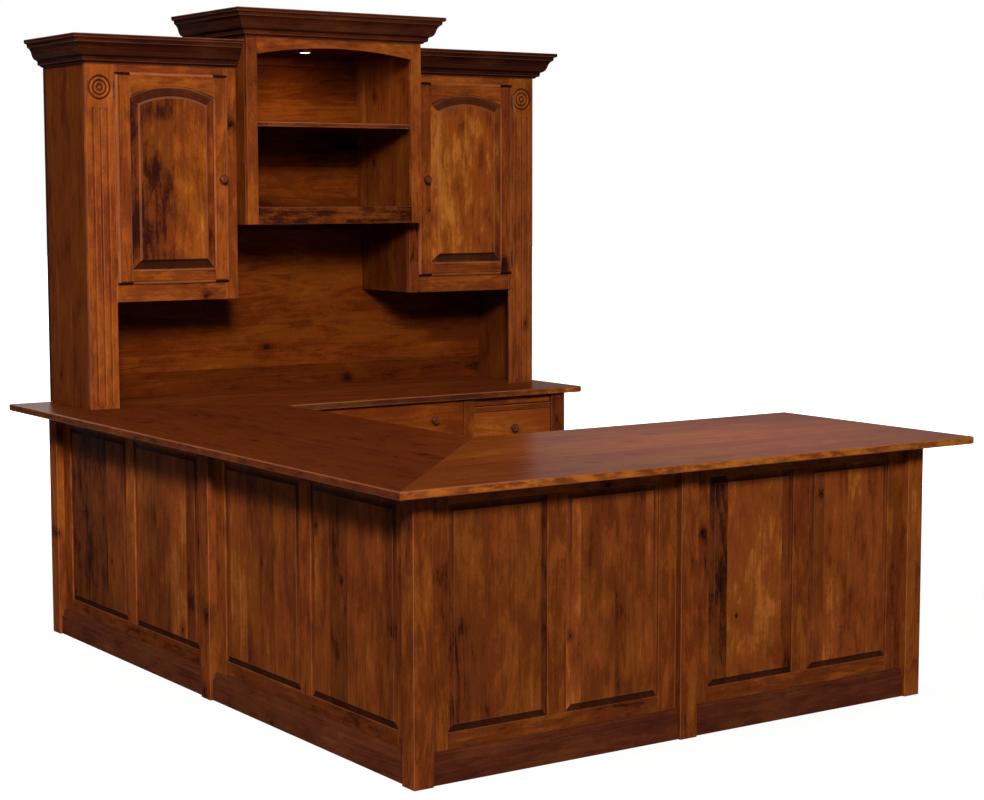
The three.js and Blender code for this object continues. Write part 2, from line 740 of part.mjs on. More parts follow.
// A wing's case: its outer side stands on the top, its inner side ends with the door's rail.
function wingCase() {
  const front = hutchBoard + fitGap
  const back = hutchDepth - hutchBoard - fitGap
  const inner = wingWidth - fitGap
  const floor = doorBottom + doorLip
  const ceiling = wingCaseTop - ceilingDrop
  const middle = (floor + ceiling) / 2
  return joined([
    block(0, hutchBoard, front, back, 0, wingCaseTop),
    block(inner - hutchBoard, inner, front, back, wingBottom, wingCaseTop),
    block(0, inner, front, back, floor - hutchBoard, floor),
    block(0, inner, front, back, ceiling, ceiling + hutchBoard),
    block(0, inner, front + hutchBoard, back, middle, middle + shelfThickness)
  ])
}

// The crown's outline, from the case outwards and upwards.
function crownOutline() {
  return crownShares.map(([reach, rise]) => (
    new THREE.Vector2(fitGap + reach * crownProjection, rise * crownHeight)
  ))
}

function wingCrown() {
  return sweep(crownOutline(), [
    { x: 0, y: hutchDepth, outX: -1, outY: 0 },
    { x: 0, y: 0, outX: -1, outY: -1 },
    { x: wingWidth - fitGap, y: 0, outX: 0, outY: -1 }
  ])
}

// An arched door: a frame whose lip overlaps the face frame, and a raised panel in its groove.
function doorSolids() {
  const windowWidth = doorWidth - 2 * doorStile
  const spring = doorHeight - doorBottomRail - doorArchRail - doorArchRise
  const outlineAt = inset => archway(windowWidth, spring, doorArchRise, inset)
  const thickness = doorInsetDepth + doorLipThickness
  const inset = doorLip + doorInsetGap
  const whole = toSolid(loftForward(
    [
      rectangle(doorWidth, doorHeight, inset), rectangle(doorWidth, doorHeight, inset),
      rectangle(doorWidth, doorHeight), rectangle(doorWidth, doorHeight),
      rectangle(doorWidth, doorHeight, doorEdgeBevel)
    ],
    [0, doorInsetDepth, doorInsetDepth, thickness - doorEdgeBevel / 2, thickness]
  ))
  const opening = loftForward(
    [outlineAt(0), outlineAt(0), outlineAt(-doorSticking), outlineAt(-doorSticking)],
    [-overrun, thickness - doorSticking, thickness, thickness + overrun]
  )
  const grooveFront = thickness - doorGrooveSetback
  const slot = loftForward(
    [outlineAt(-grooveDepth), outlineAt(-grooveDepth)],
    [grooveFront - tongueThickness, grooveFront]
  )
  const cutters = [opening, slot].map(shape => toSolid(shape.translate(doorStile, 0, doorBottomRail)))
  const frame = without(whole, cutters)
  const panel = raisedPanel(outlineAt, doorBevel)
  const panelBack = grooveFront - tongueThickness + fitGap / 2
  return { frame, panel, panelBack, thickness }
}

// A butt hinge: its barrel stands beside the door, and its leaf lies between lip and face frame.
function hingeSolid(side, axisOffset, axisDepth) {
  const barrel = new THREE.CylinderGeometry(hingeRadius, hingeRadius, hingeLength, hingeSides)
  const tip = hingeRadius * 1.2
  const pin = new THREE.CylinderGeometry(tip / 2, tip / 2, hingeLength + 2 * tip, hingeSides)
  const leafBack = axisDepth - fitGap
  const leafFront = leafBack - hingeLeafThickness
  return joined([
    toSolid(barrel.rotateX(Math.PI / 2)),
    toSolid(pin.rotateX(Math.PI / 2)),
    block(0, side * (axisOffset + doorLip), leafFront, leafBack, -hingeLength / 3, hingeLength / 3),
    block(-hingeRadius / 2, hingeRadius / 2, 0, leafBack, -hingeLength / 3, hingeLength / 3)
  ])
}

// One wing with its face frame, case, crown, door and hinges. side is 1 on the left, -1 on the right.
function addWing(name, side) {
  const wing = addGroup(hutch, side > 0 ? 0 : hutchWidth, 0, 0)
  addPiece(wing, `${name}_face_frame`, forSide(side, faceFrame()), 'wood', 0, hutchBoard, 0)
  addPiece(wing, `${name}_wing_case`, forSide(side, wingCase()), 'inside')
  addPiece(wing, `${name}_crown`, forSide(side, wingCrown()), 'wood', 0, 0, wingTop)
  const axisOffset = hingeRadius + hingeClearance
  const axisDepth = doorLipGap + doorLipThickness / 2
  const axisX = side * (doorLeft - axisOffset)
  const door = addGroup(wing, axisX, -axisDepth, doorBottom)
  const { frame, panel, panelBack, thickness } = doorSolids()
  const frameX = side > 0 ? axisOffset : -axisOffset - doorWidth
  const backY = axisDepth - doorLipGap + doorInsetDepth
  addPiece(door, `${name}_door_frame`, frame, 'wood', frameX, backY, 0)
  const panelX = frameX + doorStile
  addPiece(door, `${name}_door_panel`, panel, 'panel', panelX, backY - panelBack, doorBottomRail)
  const knobX = side * (axisOffset + doorWidth - doorStile / 2)
  const knobY = backY - thickness - fitGap
  addPiece(door, `${name}_door_knob`, turnedKnob(), 'knob', knobX, knobY, doorHeight / 2)
  const hinge = hingeSolid(side, axisOffset, axisDepth)
  const heights = [hingeInset, doorHeight - hingeInset]
  heights.forEach((height, k) => {
    const hingeName = `${name}_${k ? 'upper' : 'lower'}_hinge`
    addPiece(wing, hingeName, hinge, 'bronze', axisX, -axisDepth, doorBottom + height)
  })
}

// The open cabinet between the wings, with an arched rail, a shelf and a light
function addCentreCabinet() {
  const cabinet = addGroup(hutch, wingWidth, -centreProud, centreBottom)
  const height = centreCaseTop - centreBottom
  const depth = hutchDepth + centreProud
  const openingWidth = centreWidth - 2 * centreStile
  const spring = centreTop - centreBottom - archSpringDrop - centreBottomRail
  const outlineAt = inset => archway(openingWidth, spring, archRise, inset)
  const window = { x: centreStile, z: centreBottomRail, outlineAt }
  const face = framedBoard(centreWidth, height, hutchBoard, [window], sticking, null)
  addPiece(cabinet, 'centre_face_frame', face, 'wood', 0, hutchBoard, 0)
  const front = hutchBoard + fitGap
  const back = depth - hutchBoard - fitGap
  const ceiling = height - ceilingDrop
  const boxes = [
    block(0, hutchBoard, front, back, 0, height),
    block(centreWidth - hutchBoard, centreWidth, front, back, 0, height),
    block(0, centreWidth, front, back, centreBottomRail - hutchBoard, centreBottomRail),
    block(0, centreWidth, front, back, ceiling, ceiling + hutchBoard)
  ]
  addPiece(cabinet, 'centre_case', joined(boxes), 'inside')
  const shelfLeft = hutchBoard + fitGap
  const shelf = block(
    shelfLeft, centreWidth - shelfLeft,
    front + shelfSetback, back - fitGap,
    shelfHeight, shelfHeight + shelfThickness
  )
  addPiece(cabinet, 'centre_shelf', shelf, 'wood')
  const puck = [
    new THREE.Vector2(0, 0),
    new THREE.Vector2(lightDiameter / 2 - lightDepth / 5, 0),
    new THREE.Vector2(lightDiameter / 2, lightDepth / 5),
    new THREE.Vector2(lightDiameter / 2, lightDepth),
    new THREE.Vector2(0, lightDepth)
  ]
  const lightLevel = ceiling - lightDepth - fitGap
  const light = turnedSolid(puck.map(point => new THREE.Vector2(point.x, lightDepth - point.y)), lightSides)
  const lightY = (front + back) / 2
  addPiece(cabinet, 'puck_light', light, 'lens', centreWidth / 2, lightY, lightLevel)
  const crown = sweep(crownOutline(), [
    { x: 0, y: depth, outX: -1, outY: 0 },
    { x: 0, y: 0, outX: -1, outY: -1 },
    { x: centreWidth, y: 0, outX: 1, outY: -1 },
    { x: centreWidth, y: depth, outX: 1, outY: 0 }
  ])
  addPiece(cabinet, 'centre_crown', crown, 'wood', 0, 0, centreTop - centreBottom)
}

// The back of the whole hutch, stepped up behind the centre cabinet
function addHutchBack() {
  const outline = [
    new THREE.Vector2(0, 0),
    new THREE.Vector2(hutchWidth, 0),
    new THREE.Vector2(hutchWidth, wingCaseTop),
    new THREE.Vector2(wingWidth + centreWidth, wingCaseTop),
    new THREE.Vector2(wingWidth + centreWidth, centreCaseTop),
    new THREE.Vector2(wingWidth, centreCaseTop),
    new THREE.Vector2(wingWidth, wingCaseTop),
    new THREE.Vector2(0, wingCaseTop)
  ]
  const back = toSolid(loftForward([outline, outline], [0, hutchBoard]))
  addPiece(hutch, 'hutch_back', back, 'inside', 0, hutchDepth, 0)
}

addTops()
addCornerPosts()
addWalls()
addFrontRunCase()
addCredenza()
addWing('left', 1)
addWing('right', -1)
addCentreCabinet()
addHutchBack()

export default desk
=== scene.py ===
# %% [markdown]
# A U-shaped executive desk with a hutch, in stained and lacquered cherry.
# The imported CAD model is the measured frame. Each cell below looks at one joint, moulding or finish of the
# desk, says how a cabinet maker gets it, and works out the same surface with numpy.

# %% Load the measured desk
import math

import bmesh
import bpy
import numpy as np
from mathutils import Matrix, Vector


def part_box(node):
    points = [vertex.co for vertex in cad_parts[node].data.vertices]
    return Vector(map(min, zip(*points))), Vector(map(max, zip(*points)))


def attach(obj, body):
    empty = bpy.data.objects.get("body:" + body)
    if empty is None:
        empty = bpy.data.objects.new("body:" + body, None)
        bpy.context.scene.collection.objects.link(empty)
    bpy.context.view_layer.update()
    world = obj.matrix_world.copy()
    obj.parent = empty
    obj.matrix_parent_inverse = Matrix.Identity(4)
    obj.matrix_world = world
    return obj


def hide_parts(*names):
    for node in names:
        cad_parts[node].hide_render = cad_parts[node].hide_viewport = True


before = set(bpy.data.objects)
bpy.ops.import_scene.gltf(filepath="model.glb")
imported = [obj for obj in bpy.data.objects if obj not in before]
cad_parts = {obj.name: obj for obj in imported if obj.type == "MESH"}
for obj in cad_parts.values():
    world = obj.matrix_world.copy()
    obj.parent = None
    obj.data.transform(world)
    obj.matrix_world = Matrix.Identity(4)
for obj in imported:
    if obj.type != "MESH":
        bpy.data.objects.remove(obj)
scene = bpy.context.scene
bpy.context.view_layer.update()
mm = 0.001
X, Y, Z = 0, 1, 2


def box(node_name):
    """Lowest and highest corner of a CAD part, as two arrays in metres."""
    low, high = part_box(node_name)
    return np.array(low), np.array(high)


# %% [markdown]
# The camera stands in front of the desk's left corner, a little above the worktop, with a long lens.
# Its place was found by fitting the desk's corners to the picture, so it is written as a place, three angles
# and a focal length in pixels. A camera matrix holds right, up and back as its columns.

# %% Camera
picture_width = 984
focal_pixels = 2071
sensor_width = 36
camera_place = Vector((-3.6315, -5.5002, 1.5156))
yaw, pitch, roll = (math.radians(angle) for angle in (34.38, -5.79, -0.05))
ahead = Vector((math.sin(yaw) * math.cos(pitch), math.cos(yaw) * math.cos(pitch), math.sin(pitch)))
level = Vector((math.cos(yaw), -math.sin(yaw), 0))
upright = level.cross(ahead)
right = level * math.cos(roll) + upright * math.sin(roll)
up = upright * math.cos(roll) - level * math.sin(roll)
lens = bpy.data.cameras.new("camera")
lens.sensor_fit = "HORIZONTAL"
lens.sensor_width = sensor_width
lens.lens = sensor_width * focal_pixels / picture_width
camera = bpy.data.objects.new("camera", lens)
camera.matrix_world = Matrix((
    (right.x, up.x, -ahead.x, camera_place.x),
    (right.y, up.y, -ahead.y, camera_place.y),
    (right.z, up.z, -ahead.z, camera_place.z),
    (0, 0, 0, 1),
))
scene.collection.objects.link(camera)
scene.camera = camera
print("lens", round(lens.lens, 1), "mm")

# %% [markdown]
# A shader is a chain of nodes. Here every output of a node is held in a small class that knows arithmetic, so a
# recipe for wood is written as a formula, and each plus or times in it adds one node to the tree.

# %% Calls that make shader nodes
class Value:
    """One output of a node. Arithmetic with it adds a Math node, or a Vector Math node if it is a vector."""

    def __init__(self, socket):
        self.socket = socket

    def calc(self, operation, other=None, output=0, **settings):
        kind = "ShaderNodeMath" if self.socket.type == "VALUE" else "ShaderNodeVectorMath"
        inputs = {0: self} if other is None else {0: self, 1: other}
        return node(kind, inputs, output, operation=operation, **settings)

    def __add__(self, other):
        return self.calc("ADD", other)

    def __sub__(self, other):
        return self.calc("SUBTRACT", other)

    def __mul__(self, other):
        return self.calc("MULTIPLY", other)

    def __truediv__(self, other):
        return self.calc("DIVIDE", other)

    def __pow__(self, other):
        return self.calc("POWER", other)


def feed(made, inputs):
    """Links the inputs that come from another node, and sets the others."""
    for key, value in inputs.items():
        if isinstance(value, Value):
            made.id_data.links.new(value.socket, made.inputs[key])
        else:
            made.inputs[key].default_value = value


def node(kind, inputs, output=0, tree=None, **settings):
    """Adds one node to the given tree, or else to the tree of its inputs. Returns one of its outputs, or a list
    of them where several are named."""
    if tree is None:
        tree = next(value.socket.id_data for value in inputs.values() if isinstance(value, Value))
    made = tree.nodes.new(kind)
    for name, value in settings.items():
        setattr(made, name, value)
    feed(made, inputs)
    if isinstance(output, tuple):
        return [Value(made.outputs[key]) for key in output]
    return Value(made.outputs[output])


def spread(value, low, high, first=0.0, last=1.0):
    """Turns low..high into first..last, smoothly, and holds the ends."""
    inputs = {"Value": value, "From Min": low, "From Max": high, "To Min": first, "To Max": last}
    return node("ShaderNodeMapRange", inputs, interpolation_type="SMOOTHSTEP")


def noise(place, detail=2.0, rough=0.5, output=0):
    """Cloud noise at a place that is already scaled."""
    inputs = {"Vector": place, "Scale": 1.0, "Detail": detail, "Roughness": rough}
    return node("ShaderNodeTexNoise", inputs, output, noise_dimensions="3D")


def blend(factor, a, b, way="MIX"):
    """Mixes two colours. Inputs 6 and 7 and output 2 are the node's colour sockets."""
    return node("ShaderNodeMix", {0: factor, 6: a, 7: b}, 2, data_type="RGBA", blend_type=way)


def ramp(value, stops):
    """A colour ramp: stops are (place, colour) pairs."""
    made = value.socket.id_data.nodes.new("ShaderNodeValToRGB")
    feed(made, {0: value})
    made.color_ramp.interpolation = "EASE"
    while len(made.color_ramp.elements) < len(stops):
        made.color_ramp.elements.new(0.5)
    for element, (place, colour) in zip(made.color_ramp.elements, stops):
        element.position = place
        element.color = colour
    return Value(made.outputs[0])


def srgb(red, green, blue):
    """A colour as a screen names it, 0 to 255, turned into the linear light that the shader wants."""
    shares = np.array([red, green, blue]) / 255
    linear = np.where(shares <= 0.04045, shares / 12.92, ((shares + 0.055) / 1.055) ** 2.4)
    return (*linear.tolist(), 1.0)


def new_material(name):
    """A new material, its node tree and its Principled shader."""
    material = bpy.data.materials.new(name)
    material.use_nodes = True
    return material, material.node_tree, material.node_tree.nodes["Principled BSDF"]


# %% [markdown]
# The floor and the room are a plain studio. The background is white because camera, glossy and transmission
# rays see white, while the light that falls on the desk comes from lamps and a dim grey room. The floor mixes
# its own shaded surface with that white, so the desk's shadow stays on it, and it fades to white far away.

# %% Studio
white = (1.0, 1.0, 1.0, 1.0)
room_grey = 0.042
floor_grey = (0.25, 0.25, 0.25, 1.0)
floor_shade_share = 0.5
floor_light = 1.85
floor_half = 40.0
fade_start, fade_stop = 2.2, 5.0


def seen_directly(tree):
    """1 for camera, glossy and transmission rays, 0 for the rays that carry light to the desk."""
    names = ("Is Camera Ray", "Is Glossy Ray", "Is Transmission Ray")
    camera_ray, glossy_ray, passing_ray = node("ShaderNodeLightPath", {}, names, tree)
    return camera_ray.calc("MAXIMUM", glossy_ray).calc("MAXIMUM", passing_ray)


world = bpy.data.worlds.new("studio")
world.use_nodes = True
scene.world = world
strength = spread(seen_directly(world.node_tree), 0.0, 1.0, room_grey, 1.0)
feed(world.node_tree.nodes["Background"], {"Color": white, "Strength": strength})
floor_mesh = bpy.data.meshes.new("floor")
corners = np.array([[-1, -1, 0], [1, -1, 0], [1, 1, 0], [-1, 1, 0]]) * floor_half
floor_mesh.from_pydata(corners.tolist(), [], [(0, 1, 2, 3)])
floor = bpy.data.objects.new("floor", floor_mesh)
scene.collection.objects.link(floor)
floor_paint, tree, shader = new_material("studio_floor")
tree.nodes.remove(shader)
shaded = node("ShaderNodeBsdfDiffuse", {"Color": floor_grey}, tree=tree)
lit = node("ShaderNodeEmission", {"Color": white, "Strength": floor_light}, tree=tree)
reach = node("ShaderNodeTexCoord", {}, "Object", tree).calc("LENGTH", output="Value")
white_share = seen_directly(tree) * spread(reach, fade_start, fade_stop, 1 - floor_shade_share, 1.0)
mixed = node("ShaderNodeMixShader", {0: white_share, 1: shaded, 2: lit})
feed(tree.nodes["Material Output"], {"Surface": mixed})
floor_mesh.materials.append(floor_paint)


def lamp(name, place, target, width, height, power, colour, beam=180):
    """A soft box: an area light at a place, turned towards a target. beam is its opening in degrees."""
    light = bpy.data.lights.new(name, "AREA")
    light.shape = "RECTANGLE"
    light.size, light.size_y = width, height
    light.energy = power
    light.color = colour
    light.spread = math.radians(beam)
    holder = bpy.data.objects.new(name, light)
    way = Vector(target) - Vector(place)
    holder.matrix_world = Matrix.Translation(place) @ way.to_track_quat("-Z", "Y").to_matrix().to_4x4()
    holder.visible_camera = False
    scene.collection.objects.link(holder)


desk_middle = (0.0, 0.0, 1.0)
lamp("key", (-6.6, -12.0, 6.8), desk_middle, 2.0, 2.0, 1790, (1.0, 0.97, 0.93))
lamp("hutch_key", (-2.8, -4.6, 3.3), (-0.7, 0.8, 1.5), 1.0, 1.0, 6.4, (1.0, 0.96, 0.9), 30)
lamp("left_fill", (-3.4, -1.4, 3.5), (-0.9, -0.3, 0.4), 0.5, 0.5, 50, (1.0, 0.97, 0.94))
lamp("top_light", (0.5, -0.9, 2.6), (0.5, -0.9, 0.8), 1.2, 0.5, 4.6, (0.97, 1.0, 0.8), 52)
lamp("right_fill", (6.5, 0.3, 1.3), desk_middle, 2.0, 2.0, 90, (1.0, 0.98, 0.96))
lamp("back_fill", (1.0, 6.5, 3.0), desk_middle, 3.0, 2.0, 120, (1.0, 0.98, 0.96))
scene.view_settings.view_transform = "Standard"

# %% [markdown]
# Every board of the desk has its own grain, so every board carries its own wood coordinates: u runs along the
# grain, v across the face and w through the thickness, in metres, with a random shift that gives it other wood.
# They are saved with the mesh as the attribute "grain", and "axis" is the way the grain runs. "marks" says how
# much each point is a pale edge, from rubbing and a painted highlight, or a place where dark stain gathers, with
# painted shade in hollows, grooves and joints, and "tone" makes a board lighter or darker.

# %% Wood finish
# Mark channels: pale edges, from rubbing and a painted highlight, and dark places, from stain and painted shade
# in hollows, grooves and joints. The pale colour below paints that highlight, and the ink colour paints that
# shade as well as the knots.
RUB_AND_HIGHLIGHT, STAIN_AND_SHADE = 0, 2
ink_and_shade = srgb(17, 7, 5)
end_stain = srgb(50, 22, 14)
wear_and_highlight = srgb(176, 108, 74)
redder = (1.03, 0.95, 1.08, 1)
yellower = (0.98, 1.04, 0.9, 1)
stain_tint = (0.82, 0.62, 0.66, 1)
stain_share = 0.85
edge_coat_share = 0.15
seam_width = 0.9 * mm
pore_depth = 0.4 * mm
knot_luck = 0.84


def wood(name, stops, stave_width=0.0, stave=0.0, cloud=0.55, patch=0.3, streak=0.32, knots=1.0, blotch=0.5,
         edge_figure=0.0, coat=0.015, coat_roughness=0.22, bump=0.35, highlight_rub=0.5):
    """Stained cherry. Slow noise bends the grain. Contour lines of a long, stretched noise give the plain-sawn
    figure, fine stretched noise gives pores and streaks, cell distance gives knots, and a one-dimensional cell
    pattern across the grain gives glued staves with a hair line between them. End grain drinks more stain: it
    shows where the surface looks along the grain, so it is the size of normal times grain axis."""
    material, tree, shader = new_material(name)
    def attribute(attribute_name, output="Vector"):
        return node("ShaderNodeAttribute", {}, output, tree, attribute_name=attribute_name)

    grain, axis, tone = attribute("grain"), attribute("axis"), attribute("tone", "Fac")
    edge, glaze_and_shade = node("ShaderNodeSeparateXYZ", {0: attribute("marks")}, (RUB_AND_HIGHLIGHT, STAIN_AND_SHADE))
    normal = node("ShaderNodeTexCoord", {}, "Normal", tree)
    end = spread(normal.calc("DOT_PRODUCT", axis, "Value").calc("ABSOLUTE"), 0.02, 0.12)
    level = node("ShaderNodeSeparateXYZ", {0: normal}, Z).calc("ABSOLUTE")
    upright = spread(level, 0.2, 0.8, edge_figure, 0.0)

    if stave_width:
        across = node("ShaderNodeSeparateXYZ", {0: grain}, 1)
        inputs = {"W": across, "Scale": 1 / stave_width, "Randomness": 0.7}
        cell = node("ShaderNodeTexVoronoi", inputs, "Color", voronoi_dimensions="1D")
        line = node("ShaderNodeTexVoronoi", inputs, "Distance", voronoi_dimensions="1D",
                    feature="DISTANCE_TO_EDGE")
        grain = grain + cell * (7.0, 5.0, 3.0)
        stave_tone = node("ShaderNodeSeparateColor", {0: cell}, 1)
        seam = spread(line, 0.0, seam_width / stave_width, 0.8, 1.0)

    drift = noise(grain * (1.3, 4.5, 4.5), 1.0, 0.4, "Color")
    bent = grain + (drift - (0.5, 0.5, 0.5)) * (0.0, 0.045, 0.02)

    inputs = {"Vector": bent * (4.2, 6.4, 0.0), "Scale": 1.0, "Randomness": 0.7}
    distance, cell = node("ShaderNodeTexVoronoi", inputs, ("Distance", "Color"), voronoi_dimensions="2D")
    lucky = node("ShaderNodeSeparateColor", {0: cell})
    chosen = spread(lucky, knot_luck, knot_luck + 0.02)
    closeness = distance / spread(lucky, knot_luck, 1.0, 0.03, 0.06)
    knot = spread(closeness, 0.3, 1.0, 1.0, 0.0) * chosen
    halo = spread(closeness, 0.5, 3.6, 1.0, 0.0) * chosen

    slope = noise(bent * (0.75, 6.5, 3.0), 2.0, 0.45) + halo * 0.14
    rings = (slope * 17.0).calc("FRACT") ** 2.2
    pores = noise(bent * (16.0, 420.0, 420.0), 2.0, 0.6)
    streaks = noise(bent * (3.4, 85.0, 50.0), 3.0, 0.6)
    clouds = noise(grain * (3.0, 8.0, 8.0), 2.0, 0.5)
    patches = noise(bent * (17.0, 42.0, 42.0), 3.0, 0.6)
    mottle = noise(bent * (90.0, 150.0, 150.0), 2.0, 0.6)
    stains = noise(bent * (7.0, 13.0, 13.0), 3.0, 0.5)
    dark_stain = spread(stains, 0.5, 0.74)
    pale_stain = spread(stains, 0.3, 0.5, 1.0, 0.0)

    layers = [(rings, -0.11, 0.3), (pores, 0.24, 0.5), (streaks, streak, 0.5), (mottle, 0.22, 0.5)]
    layers += [(patches, patch, 0.5)] + ([(stave_tone, stave, 0.5)] if stave_width else [])
    layers += [(tone, 0.1, 0.0), (halo, -0.26 * knots, 0.1)]
    layers += [(dark_stain, -0.2 * blotch, 0.15), (pale_stain, 0.16 * blotch, 0.3)]
    total = (clouds - 0.5) * cloud + (patches - 0.2) * upright
    for layer, weight, middle in layers:
        total = total + (layer - middle) * weight
    colour = ramp(total.calc("ADD", 0.5, use_clamp=True), stops)
    colour = blend(1.0, colour, blend(spread(clouds, 0.36, 0.64), redder, yellower), "MULTIPLY")
    colour = blend(dark_stain * (0.5 * blotch), colour, stain_tint, "MULTIPLY")
    # Knots and end grain take dark stain. The edge mark lays on the pale painted highlight, and the hollow mark
    # lays on dark ink as painted shade.
    for share, paint in (
        (knot.calc("MULTIPLY", stain_share * knots, use_clamp=True), ink_and_shade), (end * stain_share, end_stain),
        (edge * highlight_rub, wear_and_highlight), (glaze_and_shade * stain_share, ink_and_shade),
    ):
        colour = blend(share, colour, paint)
    if stave_width:
        lines = node("ShaderNodeCombineColor", {0: seam, 1: seam, 2: seam})
        colour = blend(1.0, colour, lines, "MULTIPLY")

    height = pores * 0.6 + streaks * 0.4 - knot * 0.8
    feed(shader, {
        "Base Color": colour,
        "Roughness": pores * -0.12 + 0.52 + end * 0.15,
        "Normal": node("ShaderNodeBump", {"Strength": bump, "Distance": pore_depth, "Height": height}),
        "Specular IOR Level": 0.0,
        "Coat Weight": spread(level, 0.2, 0.8, coat * edge_coat_share, coat) if edge_figure else coat,
        "Coat Roughness": coat_roughness,
    })
    return material


def shades(*colours):
    """Four stops of a ramp, from the darkest stain to the lightest wood."""
    return tuple(zip((0.12, 0.42, 0.64, 0.95), (srgb(*colour) for colour in colours)))


recipes = {
    "top_wood": (
        ((52, 20, 8), (98, 42, 16), (118, 57, 21), (172, 99, 34)),
        dict(stave_width=0.12, stave=0.09, cloud=0.28, patch=0.12, streak=0.24, blotch=0.25, edge_figure=0.8,
             knots=0.4, coat=0.155, coat_roughness=0.26, bump=0.1)),
    "frame_wood": (((44, 17, 8), (102, 48, 18), (132, 66, 24), (180, 100, 42)), dict(patch=0.55, blotch=0.6)),
    "panel_wood": (
        ((42, 16, 8), (100, 48, 19), (126, 63, 24), (172, 96, 42)),
        dict(stave_width=0.1, stave=0.38, patch=0.4, streak=0.28, blotch=0.8)),
    "door_wood": (
        ((42, 15, 9), (96, 44, 15), (124, 62, 19), (168, 98, 38)),
        dict(stave_width=0.13, stave=0.5, patch=0.4, streak=0.24, blotch=1.1, coat=0.04)),
    "inside_wood": (
        ((40, 15, 5), (78, 33, 8), (98, 46, 13), (130, 68, 25)),
        dict(stave_width=0.12, stave=0.16, coat_roughness=0.3)),
    "back_wood": (
        ((38, 13, 3), (80, 33, 7), (102, 47, 12), (138, 71, 25)),
        dict(stave_width=0.13, stave=0.3, blotch=0.4, coat_roughness=0.3, highlight_rub=0.1)),
    "drawer_wood": (((56, 22, 8), (104, 47, 13), (130, 63, 20), (170, 92, 34)), {}),
    "crown_wood": (((24, 8, 4), (46, 17, 8), (66, 28, 13), (108, 54, 26)), dict(patch=0.4, highlight_rub=0.7)),
    "base_wood": (
        ((38, 16, 10), (76, 35, 20), (96, 47, 27), (130, 68, 37)), dict(patch=0.35, blotch=0.4, highlight_rub=0.2)),
    "knob_wood": (
        ((36, 12, 6), (76, 29, 13), (102, 43, 21), (138, 67, 38)),
        dict(patch=0.1, coat=0.25, coat_roughness=0.15, bump=0.1, knots=0.0)),
}
finishes = {name: wood(name, shades(*colours), **more) for name, (colours, more) in recipes.items()}
print("finishes", sorted(finishes))

# %% [markdown]
# A board is not a box: its edges are eased with sandpaper, and the eased edge is what catches the light.
# So a board is a rounded section carried along its length. At both ends the section steps in on a small curve.
# One function of two parameters, the station along the board and the turn round its section, gives all points.

# %% Boards with eased edges
random = np.random.default_rng(20)
edge_ease, end_ease = 1.2 * mm, 0.5 * mm
least_radius = 0.15 * mm
corner_turns = np.radians(np.add.outer([0, 90, 180, 270], [0, 45, 90]).ravel())
corner_signs = np.repeat([[1, 1], [-1, 1], [-1, -1], [1, -1]], 3, axis=0)
corner_ways = np.stack([np.cos(corner_turns), np.sin(corner_turns)], 1)
corner_middles = np.tile([0.0, 1.0, 0.0], 4)


def skin(rings):
    """Faces of a skin over rings (ring, point, xyz): quads between neighbours, flat caps at both ends."""
    count, around = rings.shape[:2]
    index = np.arange(count * around).reshape(count, around)
    near, far = index[:-1], index[1:]
    quads = np.stack([near, np.roll(near, -1, 1), np.roll(far, -1, 1), far], -1).reshape(-1, 4)
    return quads.tolist() + [index[0, ::-1].tolist(), index[-1].tolist()]


def cut(points, faces, along, marks=None, tone=None):
    """Gives a shape its wood. Its grain runs along one axis, the wider of the other two is its face, and a
    random shift takes it from another place in the tree. Its tone is a matter of chance unless it is given."""
    points = np.asarray(points, float).reshape(-1, 3)
    sizes = np.ptp(points, axis=0)
    others = sorted({X, Y, Z} - {along}, key=lambda axis: -sizes[axis])
    grain = points[:, [along, *others]] + random.uniform(0, 9, 3)
    chance = random.uniform(-1, 1)
    tone = chance if tone is None else tone
    axis = np.tile(np.eye(3)[along], (len(points), 1))
    marks = np.zeros_like(points) if marks is None else np.asarray(marks, float).reshape(-1, 3)
    return {"points": points, "faces": faces, "grain": grain, "axis": axis, "marks": marks, "tone": tone}


def bar(stations, lows, highs, along, ease=edge_ease, end=end_ease, tone=None):
    """A board whose section may change on its way. Its point is the section's middle, plus the corner's sign
    times the half size less the radius, plus the radius times the direction of the turn."""
    steps = end * np.array([0, 0.3, 1])
    places = np.concatenate([stations[0] + steps, stations[1:-1], stations[-1] - steps[::-1]])
    insets = np.concatenate([steps[::-1], np.zeros(len(stations) - 2), steps])
    low, high = (
        np.stack([np.interp(places, stations, side[:, k]) for k in (0, 1)], 1) for side in (lows, highs))
    radius = np.maximum(ease - insets, least_radius)[:, None, None]
    half = (high - low)[:, None] / 2 - insets[:, None, None]
    section = (high + low)[:, None] / 2 + corner_signs * (half - radius) + corner_ways * radius
    rings = np.empty((len(places), len(corner_turns), 3))
    rings[:, :, along] = places[:, None]
    rings[:, :, [(along + 1) % 3, (along + 2) % 3]] = section
    # The middle of each eased corner is painted pale: a highlight along the edge as well as rubbing.
    marks = np.zeros_like(rings)
    marks[1:-1, :, RUB_AND_HIGHLIGHT] = corner_middles
    return cut(rings, skin(rings), along, marks, tone)


def board(low, high, along, **more):
    """A straight board between two corners."""
    low, high = np.asarray(low, float), np.asarray(high, float)
    others = [(along + 1) % 3, (along + 2) % 3]
    stations = np.array([low[along], high[along]])
    return bar(stations, np.tile(low[others], (2, 1)), np.tile(high[others], (2, 1)), along, **more)


